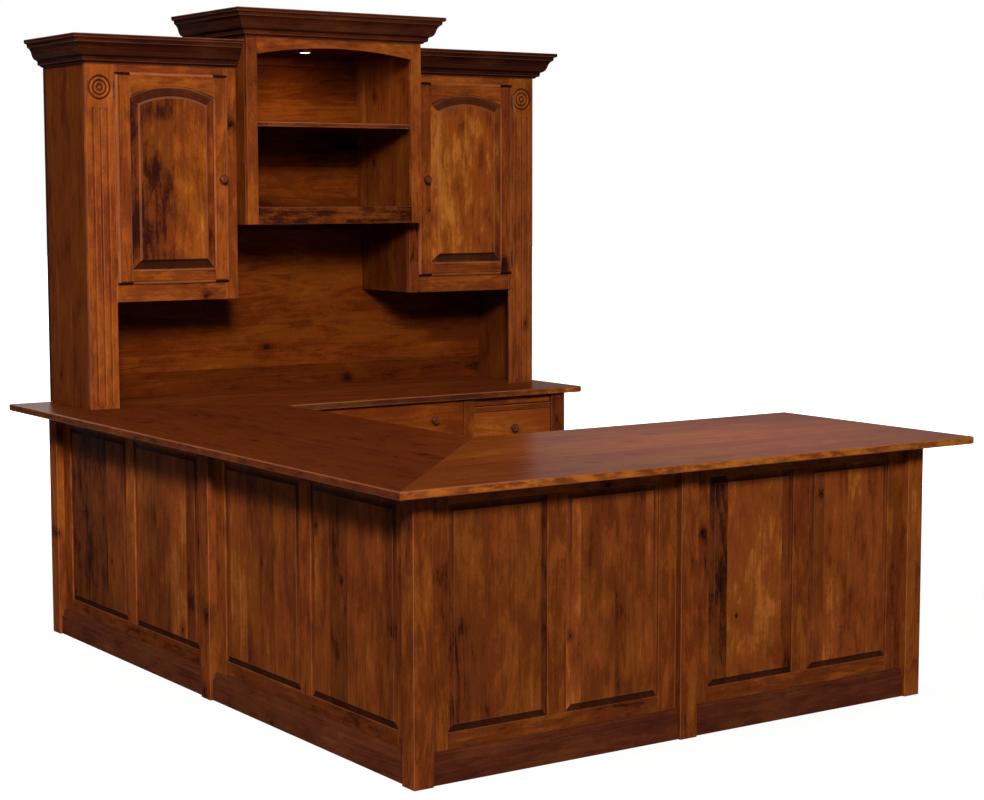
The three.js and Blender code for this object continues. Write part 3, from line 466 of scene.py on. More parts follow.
def piece(name, shapes, finish, body, *nodes, smooth=50):
    """Joins shapes into one mesh, saves their wood as attributes, turns faces outwards, keeps edges sharper
    than smooth degrees, and lets the large flat faces rule the shading normals."""
    starts = np.cumsum([0] + [len(shape["points"]) for shape in shapes])
    faces = [
        [index + int(start) for index in face]
        for shape, start in zip(shapes, starts) for face in shape["faces"]
    ]
    mesh = bpy.data.meshes.new(name)
    mesh.from_pydata(np.concatenate([shape["points"] for shape in shapes]).tolist(), [], faces)
    for attribute in ("grain", "axis", "marks"):
        values = np.concatenate([shape[attribute] for shape in shapes]).astype(np.float32)
        mesh.attributes.new(attribute, "FLOAT_VECTOR", "POINT").data.foreach_set("vector", values.ravel())
    tones = np.concatenate([np.full(len(shape["points"]), shape["tone"]) for shape in shapes])
    mesh.attributes.new("tone", "FLOAT", "POINT").data.foreach_set("value", tones.astype(np.float32))
    work = bmesh.new()
    work.from_mesh(mesh)
    bmesh.ops.recalc_face_normals(work, faces=work.faces)
    work.to_mesh(mesh)
    work.free()
    mesh.shade_smooth()
    mesh.set_sharp_from_angle(angle=math.radians(smooth))
    made = bpy.data.objects.new(name, mesh)
    scene.collection.objects.link(made)
    shading = made.modifiers.new("flat faces rule", "WEIGHTED_NORMAL")
    shading.keep_sharp = True
    mesh.materials.append(finishes[finish])
    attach(made, body)
    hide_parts(*nodes)
def tone_run(places, end_tones):
    """A tone that runs in a straight line from the lowest to the highest of some places."""
    return np.interp(places, [places.min(), places.max()], end_tones)


# %% [markdown]
# The top is three boards that meet on mitres at the two left corners, glued from staves that run along each
# part. A rounded edge needs the outline moved inwards a little at each level, but not on the mitres, where the
# boards meet. Each new corner is where the two moved edges next to it cross.

# %% Worktops
top_radius = 4.5 * mm
mitre_gap = 0.12 * mm
rounding_highlight = 0.8


def moved_outline(outline, distances):
    """Moves each edge of an outline inwards by its own distance. A corner solves two line equations."""
    edges = np.roll(outline, -1, 0) - outline
    inward = np.stack([-edges[:, 1], edges[:, 0]], 1) / np.linalg.norm(edges, axis=1)[:, None]
    reach = (inward * outline).sum(1) + distances
    rows = np.stack([np.roll(inward, 1, 0), inward], 1)
    return np.linalg.solve(rows, np.stack([np.roll(reach, 1), reach], 1)[..., None])[..., 0]


def rounded_slab(outline, eased, bottom, top, along, end_tones, edge_tone):
    """A flat slab. From underneath to the top its outline moves out and in again on two quarter circles. Its
    tone runs in a straight line from one end of the grain to the other, and its edge has a tone of its own."""
    outline, eased = np.array(outline), np.array(eased)
    turns = np.radians([0, 22.5, 45, 67.5, 90])
    insets = top_radius * (1 - np.sin(turns))
    lifts = top_radius * (1 - np.cos(turns))
    inset = np.concatenate([insets, insets[::-1]])
    levels = np.concatenate([bottom + lifts, top - lifts[::-1]])
    hair = mitre_gap * (1 - eased)
    rings = np.stack([
        np.column_stack([moved_outline(outline, distance * eased + hair), np.full(len(outline), level)])
        for distance, level in zip(inset, levels)
    ])
    marks = np.zeros_like(rings)
    # The rounded edge is painted pale, strongest half way round: a painted highlight along with rubbing.
    marks[:, :, RUB_AND_HIGHLIGHT] = np.sin(2 * np.concatenate([turns, turns[::-1]]))[:, None] * rounding_highlight
    tones = tone_run(outline[:, along], end_tones)
    tones = np.where((inset < top_radius / 2)[:, None], edge_tone, tones)
    return cut(rings, skin(rings), along, marks, tones.ravel())


top_low, top_high = box("front_top")
back_low, back_high = box("credenza_top")
left_high = box("left_top")[1]
near_left, near_right = (top_low[X], top_low[Y]), (top_high[X], top_low[Y])
far_left, far_right = (top_low[X], back_high[Y]), (top_high[X], back_high[Y])
inner_near, near_end = (left_high[X], top_high[Y]), (top_high[X], top_high[Y])
inner_far, far_end = (left_high[X], back_low[Y]), (top_high[X], back_low[Y])
# The front top's tones are painted light and shade: lighter at its left end, darker towards its right end.
for name, outline, eased, along, end_tones, edge_tone in (
    ("front_top", (near_left, near_right, near_end, inner_near), (1, 1, 1, 0), X, (1.4, -0.9), 0.4),
    ("left_top", (near_left, inner_near, inner_far, far_left), (0, 1, 0, 1), Y, (-1.1, -1.1), -3.4),
    ("credenza_top", (inner_far, far_end, far_right, far_left), (1, 1, 1, 0), X, (0.0, 0.0), 0.0),
):
    slab = rounded_slab(outline, eased, top_low[Z], top_high[Z], along, end_tones, edge_tone)
    piece(name + "_board", [slab], "top_wood", "desk", name)
print("top", round((top_high[X] - top_low[X]) / mm), "by", round((back_high[Y] - top_low[Y]) / mm), "mm")

# %% [markdown]
# The outer walls are frame and panel work. Stiles stand the full height, rails run between them, and each
# window holds a raised panel: a flat field with a wide hollowed bevel that dives into a groove. The same
# function makes a panel for a rectangle or for an arch, because it only asks for the outline at a given
# distance inwards.

# %% Raised panels
guard = 1.5 * mm
tongue_reach = 8 * mm
joint_gap = 0.3 * mm
field_margin = 2 * mm
bevel_power = 1.6
bevel_shares = np.array([0.05, 0.25, 0.45, 0.6, 0.72, 0.82, 0.91, 1])
arch_steps = 33


def window_outline(width, spring, rise, inset, steps):
    """A window seen from the front: two lower corners, then its top from right to left. The top is a circle
    whose radius is (half width squared plus rise squared) over twice the rise, less the distance inwards. A
    point just over each lower corner lets the lower side have marks of its own."""
    across = np.linspace(width - inset, inset, steps)
    if rise:
        radius = (width ** 2 / 4 + rise ** 2) / (2 * rise)
        top = spring + rise - radius + np.sqrt((radius - inset) ** 2 - (across - width / 2) ** 2)
    else:
        top = np.full(steps, spring - inset)
    lower = np.array([[inset, inset], [width - inset, inset], [width - inset, inset + guard]])
    return np.concatenate([lower, np.column_stack([across, top]), [[inset, inset + guard]]])


def faced(across, upward, out, face, facing):
    """Puts a flat drawing on a wall: across and upward are in the wall, out is away from it."""
    across, upward, out = np.broadcast_arrays(across, upward, out)
    if facing == "front":
        return np.stack([across, face - out, upward], -1)
    side = -1 if facing == "left" else 1
    return np.stack([face + side * out, across, upward], -1)


def raised_panel(start, bottom, width, spring, rise, thickness, back, facing, tone=None, bevel=19 * mm,
                 foot=7.5 * mm, step=1.5 * mm, round_width=0.7 * mm, highlight_rub=0.3,
                 low_bevel_shade=0.3, low_edge_shadow=0.0):
    """Each row of the profile, from the tongue to the field, is (distance inwards, height over the back, edge,
    stain, and the edge and stain of the lower side). The edge mark is a pale painted highlight on the field's
    edge, and the stain mark is painted shade in the groove, on the lower bevel and under the field's lower edge.
    The bevel starts at the height foot, and the edge of the field is a quarter of an ellipse, round_width wide
    and step high."""
    # The groove rows carry a dark line of painted shade where the panel meets the frame.
    profile = [(-tongue_reach, 0, 0, 0, 0, 0), (-tongue_reach, foot, 0, 1, 0, 1), (joint_gap, foot, 0, 1, 0, 1)]
    for share in bevel_shares:
        height = foot + (thickness - step - foot) * share ** bevel_power
        profile.append((joint_gap + (bevel - joint_gap) * share, height, 0, 0, 0, low_bevel_shade))
    low_highlight_rub = 0 if low_edge_shadow else highlight_rub
    for turn in np.radians([25, 50, 70, 90]):
        inset = bevel + round_width * (1 - math.cos(turn))
        height = thickness - step * (1 - math.sin(turn))
        profile.append((inset, height, highlight_rub, 0, low_highlight_rub, low_edge_shadow))
    profile.append((bevel + round_width + field_margin, thickness, 0, 0, 0, 0))
    steps = arch_steps if rise else 2
    outlines = [window_outline(width, spring, rise, row[0], steps) for row in profile]
    rings = np.stack([
        faced(start + outline[:, 0], bottom + outline[:, 1], row[1], back, facing)
        for outline, row in zip(outlines, profile)
    ])
    marks = np.zeros_like(rings)
    marks[:, :, [RUB_AND_HIGHLIGHT, STAIN_AND_SHADE]] = np.array(profile)[:, None, 2:4]
    marks[:, :2, [RUB_AND_HIGHLIGHT, STAIN_AND_SHADE]] = np.array(profile)[:, None, 4:6]
    return cut(rings, skin(rings), Z, marks, tone)


# %% [markdown]
# Baseboards and crowns are mouldings: one profile, run along the wall. The hollows get dark stain and painted
# shade, and the noses are painted pale, a highlight along with rubbing, so the marks follow from how sharply the
# profile turns at each of its points.

# %% Mouldings
fence_reach = 1.2 * mm
hollow_stain_and_shade = 1.2
def smooth_through(points, steps=5):
    """A smooth curve through given points: on each stretch a cubic whose slopes are half the step between the
    neighbours on both sides."""
    points = np.asarray(points, float)
    before = np.concatenate([points[:1], points[:-2]])
    start, stop = points[:-1], points[1:]
    after = np.concatenate([points[2:], points[-1:]])
    t = np.linspace(0, 1, steps, endpoint=False)[:, None, None]
    leave, arrive = (stop - before) / 2, (after - start) / 2
    curve = (
        (2 * t ** 3 - 3 * t ** 2 + 1) * start + (t ** 3 - 2 * t ** 2 + t) * leave
        + (3 * t ** 2 - 2 * t ** 3) * stop + (t ** 3 - t ** 2) * arrive
    )
    return np.concatenate([curve.transpose(1, 0, 2).reshape(-1, points.shape[1]), points[-1:]])


def profile_marks(profile):
    """Pale and dark marks for a closed profile: the signed turn at each point, shared out over one right angle.
    Noses get the pale mark, a painted highlight along with rubbing, and hollows the dark one, stain with painted
    shade.
    """
    before = profile - np.roll(profile, 1, 0)
    after = np.roll(profile, -1, 0) - profile
    turn = np.arctan2(before[:, 0] * after[:, 1] - before[:, 1] * after[:, 0], (before * after).sum(1))
    area = (profile[:, 0] * np.roll(profile[:, 1], -1) - np.roll(profile[:, 0], -1) * profile[:, 1]).sum()
    turn = turn * np.sign(area) / (np.pi / 2)
    marks = np.zeros((len(profile), 3))
    marks[:, RUB_AND_HIGHLIGHT] = np.clip(turn, 0, 1)
    marks[:, STAIN_AND_SHADE] = np.clip(-turn * hollow_stain_and_shade, 0, 1)
    return marks


def fenced(profile):
    """Adds a point close to both ends of each long straight stretch, so a corner keeps its marks to itself."""
    step = np.roll(profile, -1, 0) - profile
    length = np.linalg.norm(step, axis=1, keepdims=True)
    share = np.minimum(fence_reach / length, 0.5)
    rows = np.stack([profile, profile + step * share, profile + step * (1 - share)], 1)
    is_long = length[:, 0] > 4 * fence_reach
    return rows[np.stack([np.ones(len(profile), bool), is_long, is_long], 1)]


def moulding(profile, ends, along):
    """A profile (out, up) carried from one end to the other. Each end gives the place of the wall, the way out,
    and how far along the moulding moves per metre of projection, which cuts a mitre."""
    profile = fenced(profile)
    rings = np.empty((len(ends), len(profile), 3))
    for ring, (place, out, slant) in zip(rings, ends):
        ring[:, :2] = np.asarray(place) + profile[:, :1] * (np.asarray(out) + np.asarray(slant))
        ring[:, Z] = profile[:, 1]
    return cut(rings, skin(rings), along, np.stack([profile_marks(profile)] * len(ends)))


base_low, base_high = box("front_baseboard")
base_height, base_thickness = base_high[Z], base_high[Y] - base_low[Y]
base_ease = 0.8 * mm
cove_height, cove_depth = 22 * mm, 10 * mm
cove_shares = [[0, 0], [0.3, 0.08], [0.5, 0.22], [0.68, 0.5], [0.76, 0.8]]
lip_shares = [[0.8, 0.86], [0.92, 0.88], [1, 0.93], [1, 1]]
cove = np.concatenate([smooth_through(cove_shares, 3), lip_shares])
base_profile = np.concatenate([
    [[0, 0], [base_thickness - base_ease, 0], [base_thickness, base_ease]],
    np.column_stack([base_thickness - cove_depth * cove[:, 0], base_height - cove_height * (1 - cove[:, 1])]),
    [[0, base_height]],
])
print("baseboard", round(base_height / mm), "mm high, with", len(base_profile), "points in its profile")

# %% [markdown]
# Now a whole wall is listed the way it is assembled: stiles, mullions and rails, then the panels in their
# grooves, then the baseboard between the posts, and a middle post over the joint of the two frames. A pedestal
# end closes the right side of a run of drawers with the same work.

# %% Outer walls and panelled ends
stile, mullion, post = 60 * mm, 62 * mm, 60 * mm
bottom_rail, top_rail = 128 * mm, 42 * mm
frame_thickness, end_panel_thickness = 20 * mm, 13 * mm
post_ease = 2.2 * mm
west, east, south, none = (-1, 0), (1, 0), (0, -1), (0, 0)
ways_out = {"front": south, "left": west, "right": east}


def wall_board(start, stop, bottom, top, face, facing, along, **more):
    """A board that lies in a wall, given by its place along the wall, its height and the wall's face."""
    depths = np.array([0, -frame_thickness])
    ends = faced(np.array([start, stop]), np.array([bottom, top]), depths, face, facing)
    return board(ends.min(0), ends.max(0), along, **more)


def framed(start, stop, middle, height, face, facing, rail_tone=None):
    """Boards of a frame round two windows, with a middle board between, and the windows' starts and width."""
    width = (stop - start - 2 * stile - middle) / 2
    first, second = start + stile, start + stile + width + middle
    window_top = height - top_rail
    level_axis = X if facing == "front" else Y
    boards = [
        wall_board(start, first, 0, height, face, facing, Z),
        wall_board(first + width, second, bottom_rail, window_top, face, facing, Z),
        wall_board(second + width, stop, 0, height, face, facing, Z),
        wall_board(first, second + width, 0, bottom_rail, face, facing, level_axis, tone=rail_tone),
        wall_board(first, second + width, window_top, height, face, facing, level_axis),
    ]
    return boards, [first, second], width


def baseboard(start, stop, face, facing):
    """A straight run of baseboard on a wall's face."""
    ends = [(faced(place, 0.0, 0.0, face, facing)[:2], ways_out[facing], none) for place in (start, stop)]
    return moulding(base_profile, ends, X if facing == "front" else Y)


def wall(name, facing, start, stop, panels_start, tones, rail_tone):
    """A wall of two bays with two panels each. Panels are numbered from panels_start towards the other end."""
    normal = Y if facing == "front" else X
    low, high = box(name + "_frame")
    face, height = low[normal], high[Z]
    bay = (stop - start - post) / 2
    bays = ((start, start + bay), (start + bay + post, stop))
    members = [wall_board(start + bay, start + bay + post, 0, height, face, facing, Z)]
    windows = []
    for bay_start, bay_stop in bays:
        boards, starts, panel_width = framed(bay_start, bay_stop, mullion, height, face, facing, rail_tone)
        members += boards
        windows += starts
    piece(name + "_frame_boards", members, "frame_wood", "desk", name + "_frame")
    if panels_start == "far":
        windows = windows[::-1]
    for number, (window, tone) in enumerate(zip(windows, tones), 1):
        node_name = f"{name}_panel_{number}"
        low, high = box(node_name)
        panel = raised_panel(
            window, bottom_rail, panel_width, height - top_rail - bottom_rail, 0, high[normal] - low[normal],
            high[normal], facing, tone)
        piece(node_name + "_field", [panel], "panel_wood", "desk", node_name)
    base_face = box(name + "_baseboard")[1][normal]
    runs = [
        baseboard(bay_start + joint_gap, bay_stop - joint_gap, base_face, facing) for bay_start, bay_stop in bays
    ]
    piece(name + "_base_moulding", runs, "base_wood", "desk", name + "_baseboard")


wall("front", "front", box("front_left_post")[1][X], box("front_right_post")[0][X], "near",
     (-0.3, 0.3, -0.4, 0.8), -0.9)
wall("left", "left", box("front_left_post")[1][Y], box("back_left_post")[0][Y], "far",
     (-1.6, 0.8, 0.8, 0.2), -1.4)
for name, tone in (
    ("front_left_post", -0.2), ("front_right_post", 0.4), ("back_left_post", 0.8), ("front_middle_post", -0.2),
    ("left_middle_post", 0.2),
):
    piece(name + "_board", [board(*box(name), Z, ease=post_ease, tone=tone)], "frame_wood", "desk", name)


def panelled_end(name):
    """Two panels side by side in one frame, facing right, with a baseboard at its foot."""
    low, high = box(name)
    face, height = low[X] + frame_thickness, high[Z]
    members, windows, panel_width = framed(low[Y], high[Y], stile, height, face, "right")
    members.append(baseboard(low[Y], high[Y], face, "right"))
    piece(name + "_frame_boards", members, "frame_wood", "desk", name)
    panels = [
        raised_panel(
            window, bottom_rail, panel_width, height - top_rail - bottom_rail, 0, end_panel_thickness,
            face - end_panel_thickness, "right")
        for window in windows
    ]
    piece(name + "_panels", panels, "panel_wood", "desk", name)


panelled_end("front_case_end")
panelled_end("credenza_end")

# %% [markdown]
# Behind the panels stand two plain cases of boards that hold the drawers. They are written in the maker's own
# measures: u from the outer post inwards, v from the user's face to the back. A list of boards is enough,
# because each one is cut, eased and given its own grain by the board function.

# %% Drawer cases
case_board, case_stile, face_thickness = 19 * mm, 41 * mm, 20 * mm
opening_width = 348 * mm
plinth, rail = 104 * mm, 20 * mm
end_inside = 45.3 * mm
runner_reach = 25 * mm
opening_end = post + opening_width
case_width = opening_end + case_stile
inner_side = case_width - case_board
apron_height = 60 * mm


def case_boards(origin, way, parts):
    """Boards listed as u, v and z ranges with the axis of their grain, put down from an origin."""
    boards = []
    for u0, u1, v0, v1, z0, z1, along in parts:
        x = sorted((origin[X] - u0, origin[X] - u1))
        y = sorted((origin[Y] + way * v0, origin[Y] + way * v1))
        boards.append(board((x[0], y[0], z0), (x[1], y[1], z1), along))
    return boards


def pedestal(depth, height, levels, post_back):
    """The drawer column: post, stile, inner side, plinth, bottom and fillet, and at each level between two
    drawers a rail, a fillet, two runners and a back rail."""
    parts = [
        (0, post, 0, post, 0, height, Z),
        (opening_end, case_width, 0, face_thickness, 0, height, Z),
        (inner_side, case_width, face_thickness, depth, 0, height, Z),
        (post, opening_end, 0, face_thickness, 0, plinth, X),
        (post, inner_side, face_thickness, depth, plinth - case_board, plinth, X),
        (end_inside, post, post, post_back, plinth - case_board, plinth, Y),
    ]
    for top in levels:
        parts += [
            (post, opening_end, 0, face_thickness, top - rail, top, X),
            (end_inside, post, post, post_back, top - rail, top, Y),
            (post, post + runner_reach, face_thickness, depth - rail, top - rail, top, Y),
            (opening_end - runner_reach, inner_side, face_thickness, depth - rail, top - rail, top, Y),
            (post, inner_side, depth - rail, depth, top - rail, top, X),
        ]
    return parts


case_low, case_high = box("front_case")
height = case_high[Z]
depth = case_high[Y] - case_low[Y]
post_back = case_high[Y] - box("front_right_post")[1][Y] - joint_gap
drawer_height = (height - top_rail - plinth - rail) / 2
apron_bottom = height - apron_height
gable_outer = case_high[X] - case_low[X]
gable_inner = gable_outer - case_board
parts = pedestal(depth, height, [plinth + drawer_height + rail], post_back) + [
    (post, opening_end, 0, face_thickness, height - top_rail, height, X),
    (case_width, gable_inner, 0, face_thickness, apron_bottom, height, X),
    (case_width, gable_inner, depth - case_board, depth, apron_bottom, height, X),
    (gable_inner, gable_outer, 0, depth, 0, height, Z),
]
boards = case_boards((case_high[X], case_high[Y]), -1, parts)
piece("front_case_boards", boards, "frame_wood", "desk", "front_case")

credenza_low, credenza_high = box("credenza_case")
depth = credenza_high[Y] - credenza_low[Y]
inside_depth = depth - case_board
tray_level = height - 52 * mm
first_level = tray_level - 128 * mm
second_level = first_level - rail - 144 * mm
wide_level = height - 132 * mm
wide_rail = wide_level - rail
gable_outer = credenza_high[X] - case_low[X]
gable_inner = gable_outer - case_board
wide_left = gable_outer - case_stile
ledge_front, ledge_width, ledge_bottom = 26 * mm, 11 * mm, tray_level - 10 * mm
apron_front, apron_back, apron_bottom = 16 * mm, 35 * mm, tray_level + 22 * mm
parts = pedestal(inside_depth, height, [first_level, second_level], inside_depth) + [
    (0, post, depth - post, depth, 0, height, Z),
    (post, credenza_high[X] - credenza_low[X], inside_depth, depth, 0, height, X),
    (gable_inner, gable_outer, face_thickness, inside_depth, 0, height, Z),
    (wide_left, gable_outer, 0, face_thickness, 0, height, Z),
    (case_width, wide_left, 0, face_thickness, wide_rail, wide_level, X),
    (wide_left - runner_reach, gable_inner, face_thickness, inside_depth, wide_rail, wide_level, Y),
    (case_width, case_width + runner_reach, face_thickness, inside_depth, wide_rail, wide_level, Y),
    (post, opening_end, apron_front, apron_back, apron_bottom, height, X),
    (opening_end - ledge_width, inner_side, ledge_front, inside_depth, ledge_bottom, tray_level, Y),
    (post, post + ledge_width, ledge_front, inside_depth, ledge_bottom, tray_level, Y),
]
boards = case_boards((credenza_high[X], credenza_low[Y]), 1, parts)
piece("credenza_case_boards", boards, "frame_wood", "desk", "credenza_case")
print("file drawer openings", round(opening_width / mm), "by", round(drawer_height / mm), "mm")

# %% [markdown]
# A drawer is a front board on a box of thin sides with a bottom. A knob is turned on a lathe: half its
# outline, swung round an axis. The point at a turn is the axis plus the radius times the turn's sine and
# cosine.

# %% Drawers and turned knobs
knob_shares = np.array([
    (0.32, 0.0), (0.32, 0.07), (0.3, 0.1), (0.2, 0.18), (0.18, 0.34), (0.36, 0.46), (0.49, 0.62), (0.5, 0.74),
    (0.42, 0.9), (0.24, 0.985), (0.03, 1.0),
])
knob_waist_share = 0.26
drawer_front, drawer_side, drawer_bottom = 20 * mm, 12 * mm, 8 * mm
side_clearance, top_clearance, front_lift = 11 * mm, 20 * mm, 1.7 * mm
writing_board_ease = 3 * mm


def turned(outline, centre, axis, sign, sides=48, along=None, marks=None):
    """Swings an outline of (radius, distance along) round an axis through a centre."""
    turns = np.linspace(0, 2 * np.pi, sides, endpoint=False)
    rings = np.empty((len(outline), sides, 3))
    rings[:, :, axis] = centre[axis] + sign * outline[:, 1:2]
    for k, wave in ((1, np.cos(turns)), (2, np.sin(turns))):
        other = (axis + k) % 3
        rings[:, :, other] = centre[other] + outline[:, :1] * wave
    if marks is not None:
        marks = np.repeat(marks[:, None], sides, axis=1)
    return cut(rings, skin(rings), axis if along is None else along, marks)


def knob(name, body, sign):
    """A turned knob in the box of its CAD part. It stands out along Y, in the direction of sign. Its grain axis
    is nothing, so that no part of it takes the stain of end grain."""
    low, high = box(name)
    middle = (low + high) / 2
    middle[Y] = low[Y] if sign > 0 else high[Y]
    outline = smooth_through(knob_shares, 4) * [high[X] - low[X], high[Y] - low[Y]]
    # A band of painted shade darkens the knob round its waist.
    marks = np.zeros((len(outline), 3))
    from_waist = np.abs(outline[:, 1] / outline[-1, 1] - knob_waist_share)
    marks[:, STAIN_AND_SHADE] = np.clip(0.7 - from_waist * 5, 0, 1)
    shape = turned(outline, middle, Y, sign, along=Z, marks=marks)
    shape["axis"] *= 0
    piece(name + "_turned", [shape], "knob_wood", body, name)


def drawer(name, sign, tone):
    """Front, two sides, back and bottom, measured from the box of the CAD drawer, and its knobs. sign is
    the way its front faces."""
    low, high = box(name)
    body = name + "_box"

    def part(x0, x1, v0, v1, z0, z1, along, **more):
        y = (high[Y] - v1, high[Y] - v0) if sign > 0 else (low[Y] + v0, low[Y] + v1)
        return board((x0, y[0], z0), (x1, y[1], z1), along, **more)

    reach = high[Y] - low[Y]
    outer_left, outer_right = low[X] + side_clearance, high[X] - side_clearance
    inner_left, inner_right = outer_left + drawer_side, outer_right - drawer_side
    top = high[Z] - top_clearance
    boards = [
        part(low[X], high[X], 0, drawer_front, low[Z] + front_lift, high[Z], X, tone=tone),
        part(outer_left, inner_left, drawer_front, reach, low[Z], top, Y),
        part(inner_right, outer_right, drawer_front, reach, low[Z], top, Y),
        part(inner_left, inner_right, reach - drawer_side, reach, low[Z], top, X),
        part(inner_left, inner_right, drawer_front, reach - drawer_side, low[Z], low[Z] + drawer_bottom, X),
    ]
    piece(name + "_boards", boards, "drawer_wood", body, name)
    for knob_name in sorted(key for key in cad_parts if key.startswith(name + "_knob")):
        knob(knob_name, body, sign)


for name, sign, tone in (
    ("front_lower_drawer", 1, 0.0), ("front_upper_drawer", 1, 0.6), ("credenza_first_drawer", -1, 1.6),
    ("credenza_second_drawer", -1, 0.8), ("credenza_file_drawer", -1, 0.2), ("credenza_wide_drawer", -1, 0.0),
):
    drawer(name, sign, tone)
slab = board(*box("writing_board"), X, ease=writing_board_ease)
piece("writing_board_slab", [slab], "drawer_wood", "writing_board_slide", "writing_board")

# %% [markdown]
# Each wing of the hutch has a fluted pilaster: three shallow flutes are run with a round-nosed cutter, and a
# rosette is turned into the board above them. Both are a depth over a flat face, so the whole front is one
# height field: a grid of places across and up, and a depth for each place.

# %% Carved boards
def carved_board(across, upward, depth, face, thickness, along, tone, marks):
    """A board whose front is a grid pushed in by a depth. Its walls hang from the border of the grid, and its
    back is one flat face."""
    across, upward, depth = np.broadcast_arrays(across, upward, depth)
    m, n = depth.shape
    index = np.arange(m * n).reshape(m, n)
    quads = np.stack([index[:-1, :-1], index[1:, :-1], index[1:, 1:], index[:-1, 1:]], -1).reshape(-1, 4)
    border = np.concatenate([index[:-1, 0], index[-1, :-1], index[:0:-1, -1], index[0, :0:-1]])
    back = m * n + np.arange(len(border))
    walls = np.stack([border, np.roll(border, -1), np.roll(back, -1), back], -1)
    front = faced(across, upward, -depth, face, "front").reshape(-1, 3)
    rear = faced(across.ravel()[border], upward.ravel()[border], -thickness, face, "front")
    marks = np.concatenate([marks.reshape(-1, 3), np.zeros((len(border), 3))])
    faces = quads.tolist() + walls.tolist() + [back.tolist()]
    return cut(np.concatenate([front, rear]), faces, along, marks, tone)


def quarter_round(distance, width, depth):
    """Depth of a rounded edge: nothing beyond its width, and on a quarter ellipse within it."""
    share = np.clip(1 - distance / width, 0, 1)
    return depth * (1 - np.sqrt(1 - share ** 2))


rosette_shares = smooth_through([
    (0, 0.05), (0.1, 0.12), (0.2, 0.9), (0.27, 1.0), (0.33, 0.3), (0.4, 0.05), (0.47, 0.3), (0.54, 0.95),
    (0.6, 1.0), (0.66, 0.35), (0.74, 0.05), (0.82, 0.35), (0.88, 0.95), (0.95, 1.0), (1.0, 0.2),
], 4)
pilaster_width, hutch_board = 100 * mm, 19 * mm
pilaster_tone = 0.6
rosette_radius, rosette_depth = 41 * mm, 5 * mm
flute_width, flute_depth, flute_pitch, flute_run_out = 8 * mm, 4.5 * mm, 25.5 * mm, 3 * mm
corner_width, corner_depth, corner_step, corner_highlight_width = 1.2 * mm, 1.0 * mm, 0.4 * mm, 1 * mm


def pilaster(start, bottom, top, flute_bottom, flute_top, rosette_height, face):
    """Depth is the deepest of three things: flutes, each half an ellipse across that runs out quickly at both
    ends, the rosette's turned rings by their distance from its middle, and the rounded border."""
    across = np.union1d(np.linspace(0, pilaster_width, 101), [corner_step, pilaster_width - corner_step])
    end_steps = np.linspace(-1, 8, 10) * mm
    upward = np.concatenate([
        [bottom, bottom + corner_step, bottom + corner_width, top], flute_bottom + end_steps,
        flute_top - end_steps, rosette_height + np.linspace(-1.05, 1.05, 65) * rosette_radius,
        np.linspace(flute_bottom + 30 * mm, flute_top - 30 * mm, 9),
    ])
    across, upward = np.meshgrid(across, np.unique(upward), indexing="ij")
    middle = pilaster_width / 2
    depth, stain, worn_and_lit = (np.zeros_like(across) for _ in range(3))
    to_end = np.clip(np.minimum(upward - flute_bottom, flute_top - upward) / flute_run_out, 0, 1)
    run_out = np.sqrt(1 - (1 - to_end) ** 2)
    for k in (-1, 0, 1):
        place = np.abs(across - middle - k * flute_pitch) / (flute_width / 2)
        hollow = np.sqrt(np.clip(1 - place ** 2, 0, 1)) * run_out
        depth = np.maximum(depth, flute_depth * hollow)
        # Painted shade darkens the inside of each flute, and more so its run-out ends, which also stand for end
        # grain.
        stain = np.maximum(stain, np.where((run_out > 0) & (place < 0.8), 0.4, 0))
        stain = np.maximum(stain, np.where((to_end > 0) & (to_end < 0.7) & (place < 1), 0.9, 0))
        # A pale painted highlight runs along both sides of each flute.
        worn_and_lit = np.maximum(worn_and_lit, np.where((run_out > 0) & (np.abs(place - 1.12) < 0.2), 0.7, 0))
    reach = np.hypot(across - middle, upward - rosette_height) / rosette_radius
    rings = np.where(reach < 1, np.interp(reach, rosette_shares[:, 0], rosette_shares[:, 1]), 0)
    depth = np.maximum(depth, rosette_depth * rings)
    # Painted shade darkens the deep rings of the rosette.
    stain = np.maximum(stain, np.clip(rings, 0, 1) ** 2 * 0.95)
    border = np.minimum(across, pilaster_width - across)
    depth = np.maximum(depth, quarter_round(border, corner_width, corner_depth))
    # The border and the rosette's low ridges are painted pale: a highlight along with rubbing.
    noses = np.where(border < corner_highlight_width, 0.8, 0) + np.clip(0.35 - rings, 0, 1) * (reach < 0.9) * 0.9
    marks = np.zeros((*depth.shape, 3))
    marks[..., RUB_AND_HIGHLIGHT] = np.maximum(noses, worn_and_lit)
    marks[..., STAIN_AND_SHADE] = stain
    shape = carved_board(start + across, upward, depth, face, hutch_board, Z, pilaster_tone, marks)
    shape["axis"] *= 0
    return shape


# %% [markdown]
# The wing itself is a face frame round a lipped door on a plain case. The left and the right wing mirror each
# other, so their boards are listed once, measured from the outer side, and put down with a sign.

# %% Hutch wings
face_low, face_high = box("left_face_frame")
face_y, hutch_bottom, wing_case_top = face_low[Y], face_low[Z], face_high[Z]
wing_width = face_high[X] - face_low[X]
wing_bottom = box("left_door_frame")[0][Z] - 58 * mm
crown_bottom = box("left_crown")[0][Z]
door_start, door_lip = 101 * mm, 10 * mm
flute_foot, flute_drop, rosette_drop = 14 * mm, 146 * mm, 79 * mm
ceiling_drop, shelf_thickness = 61 * mm, 17 * mm


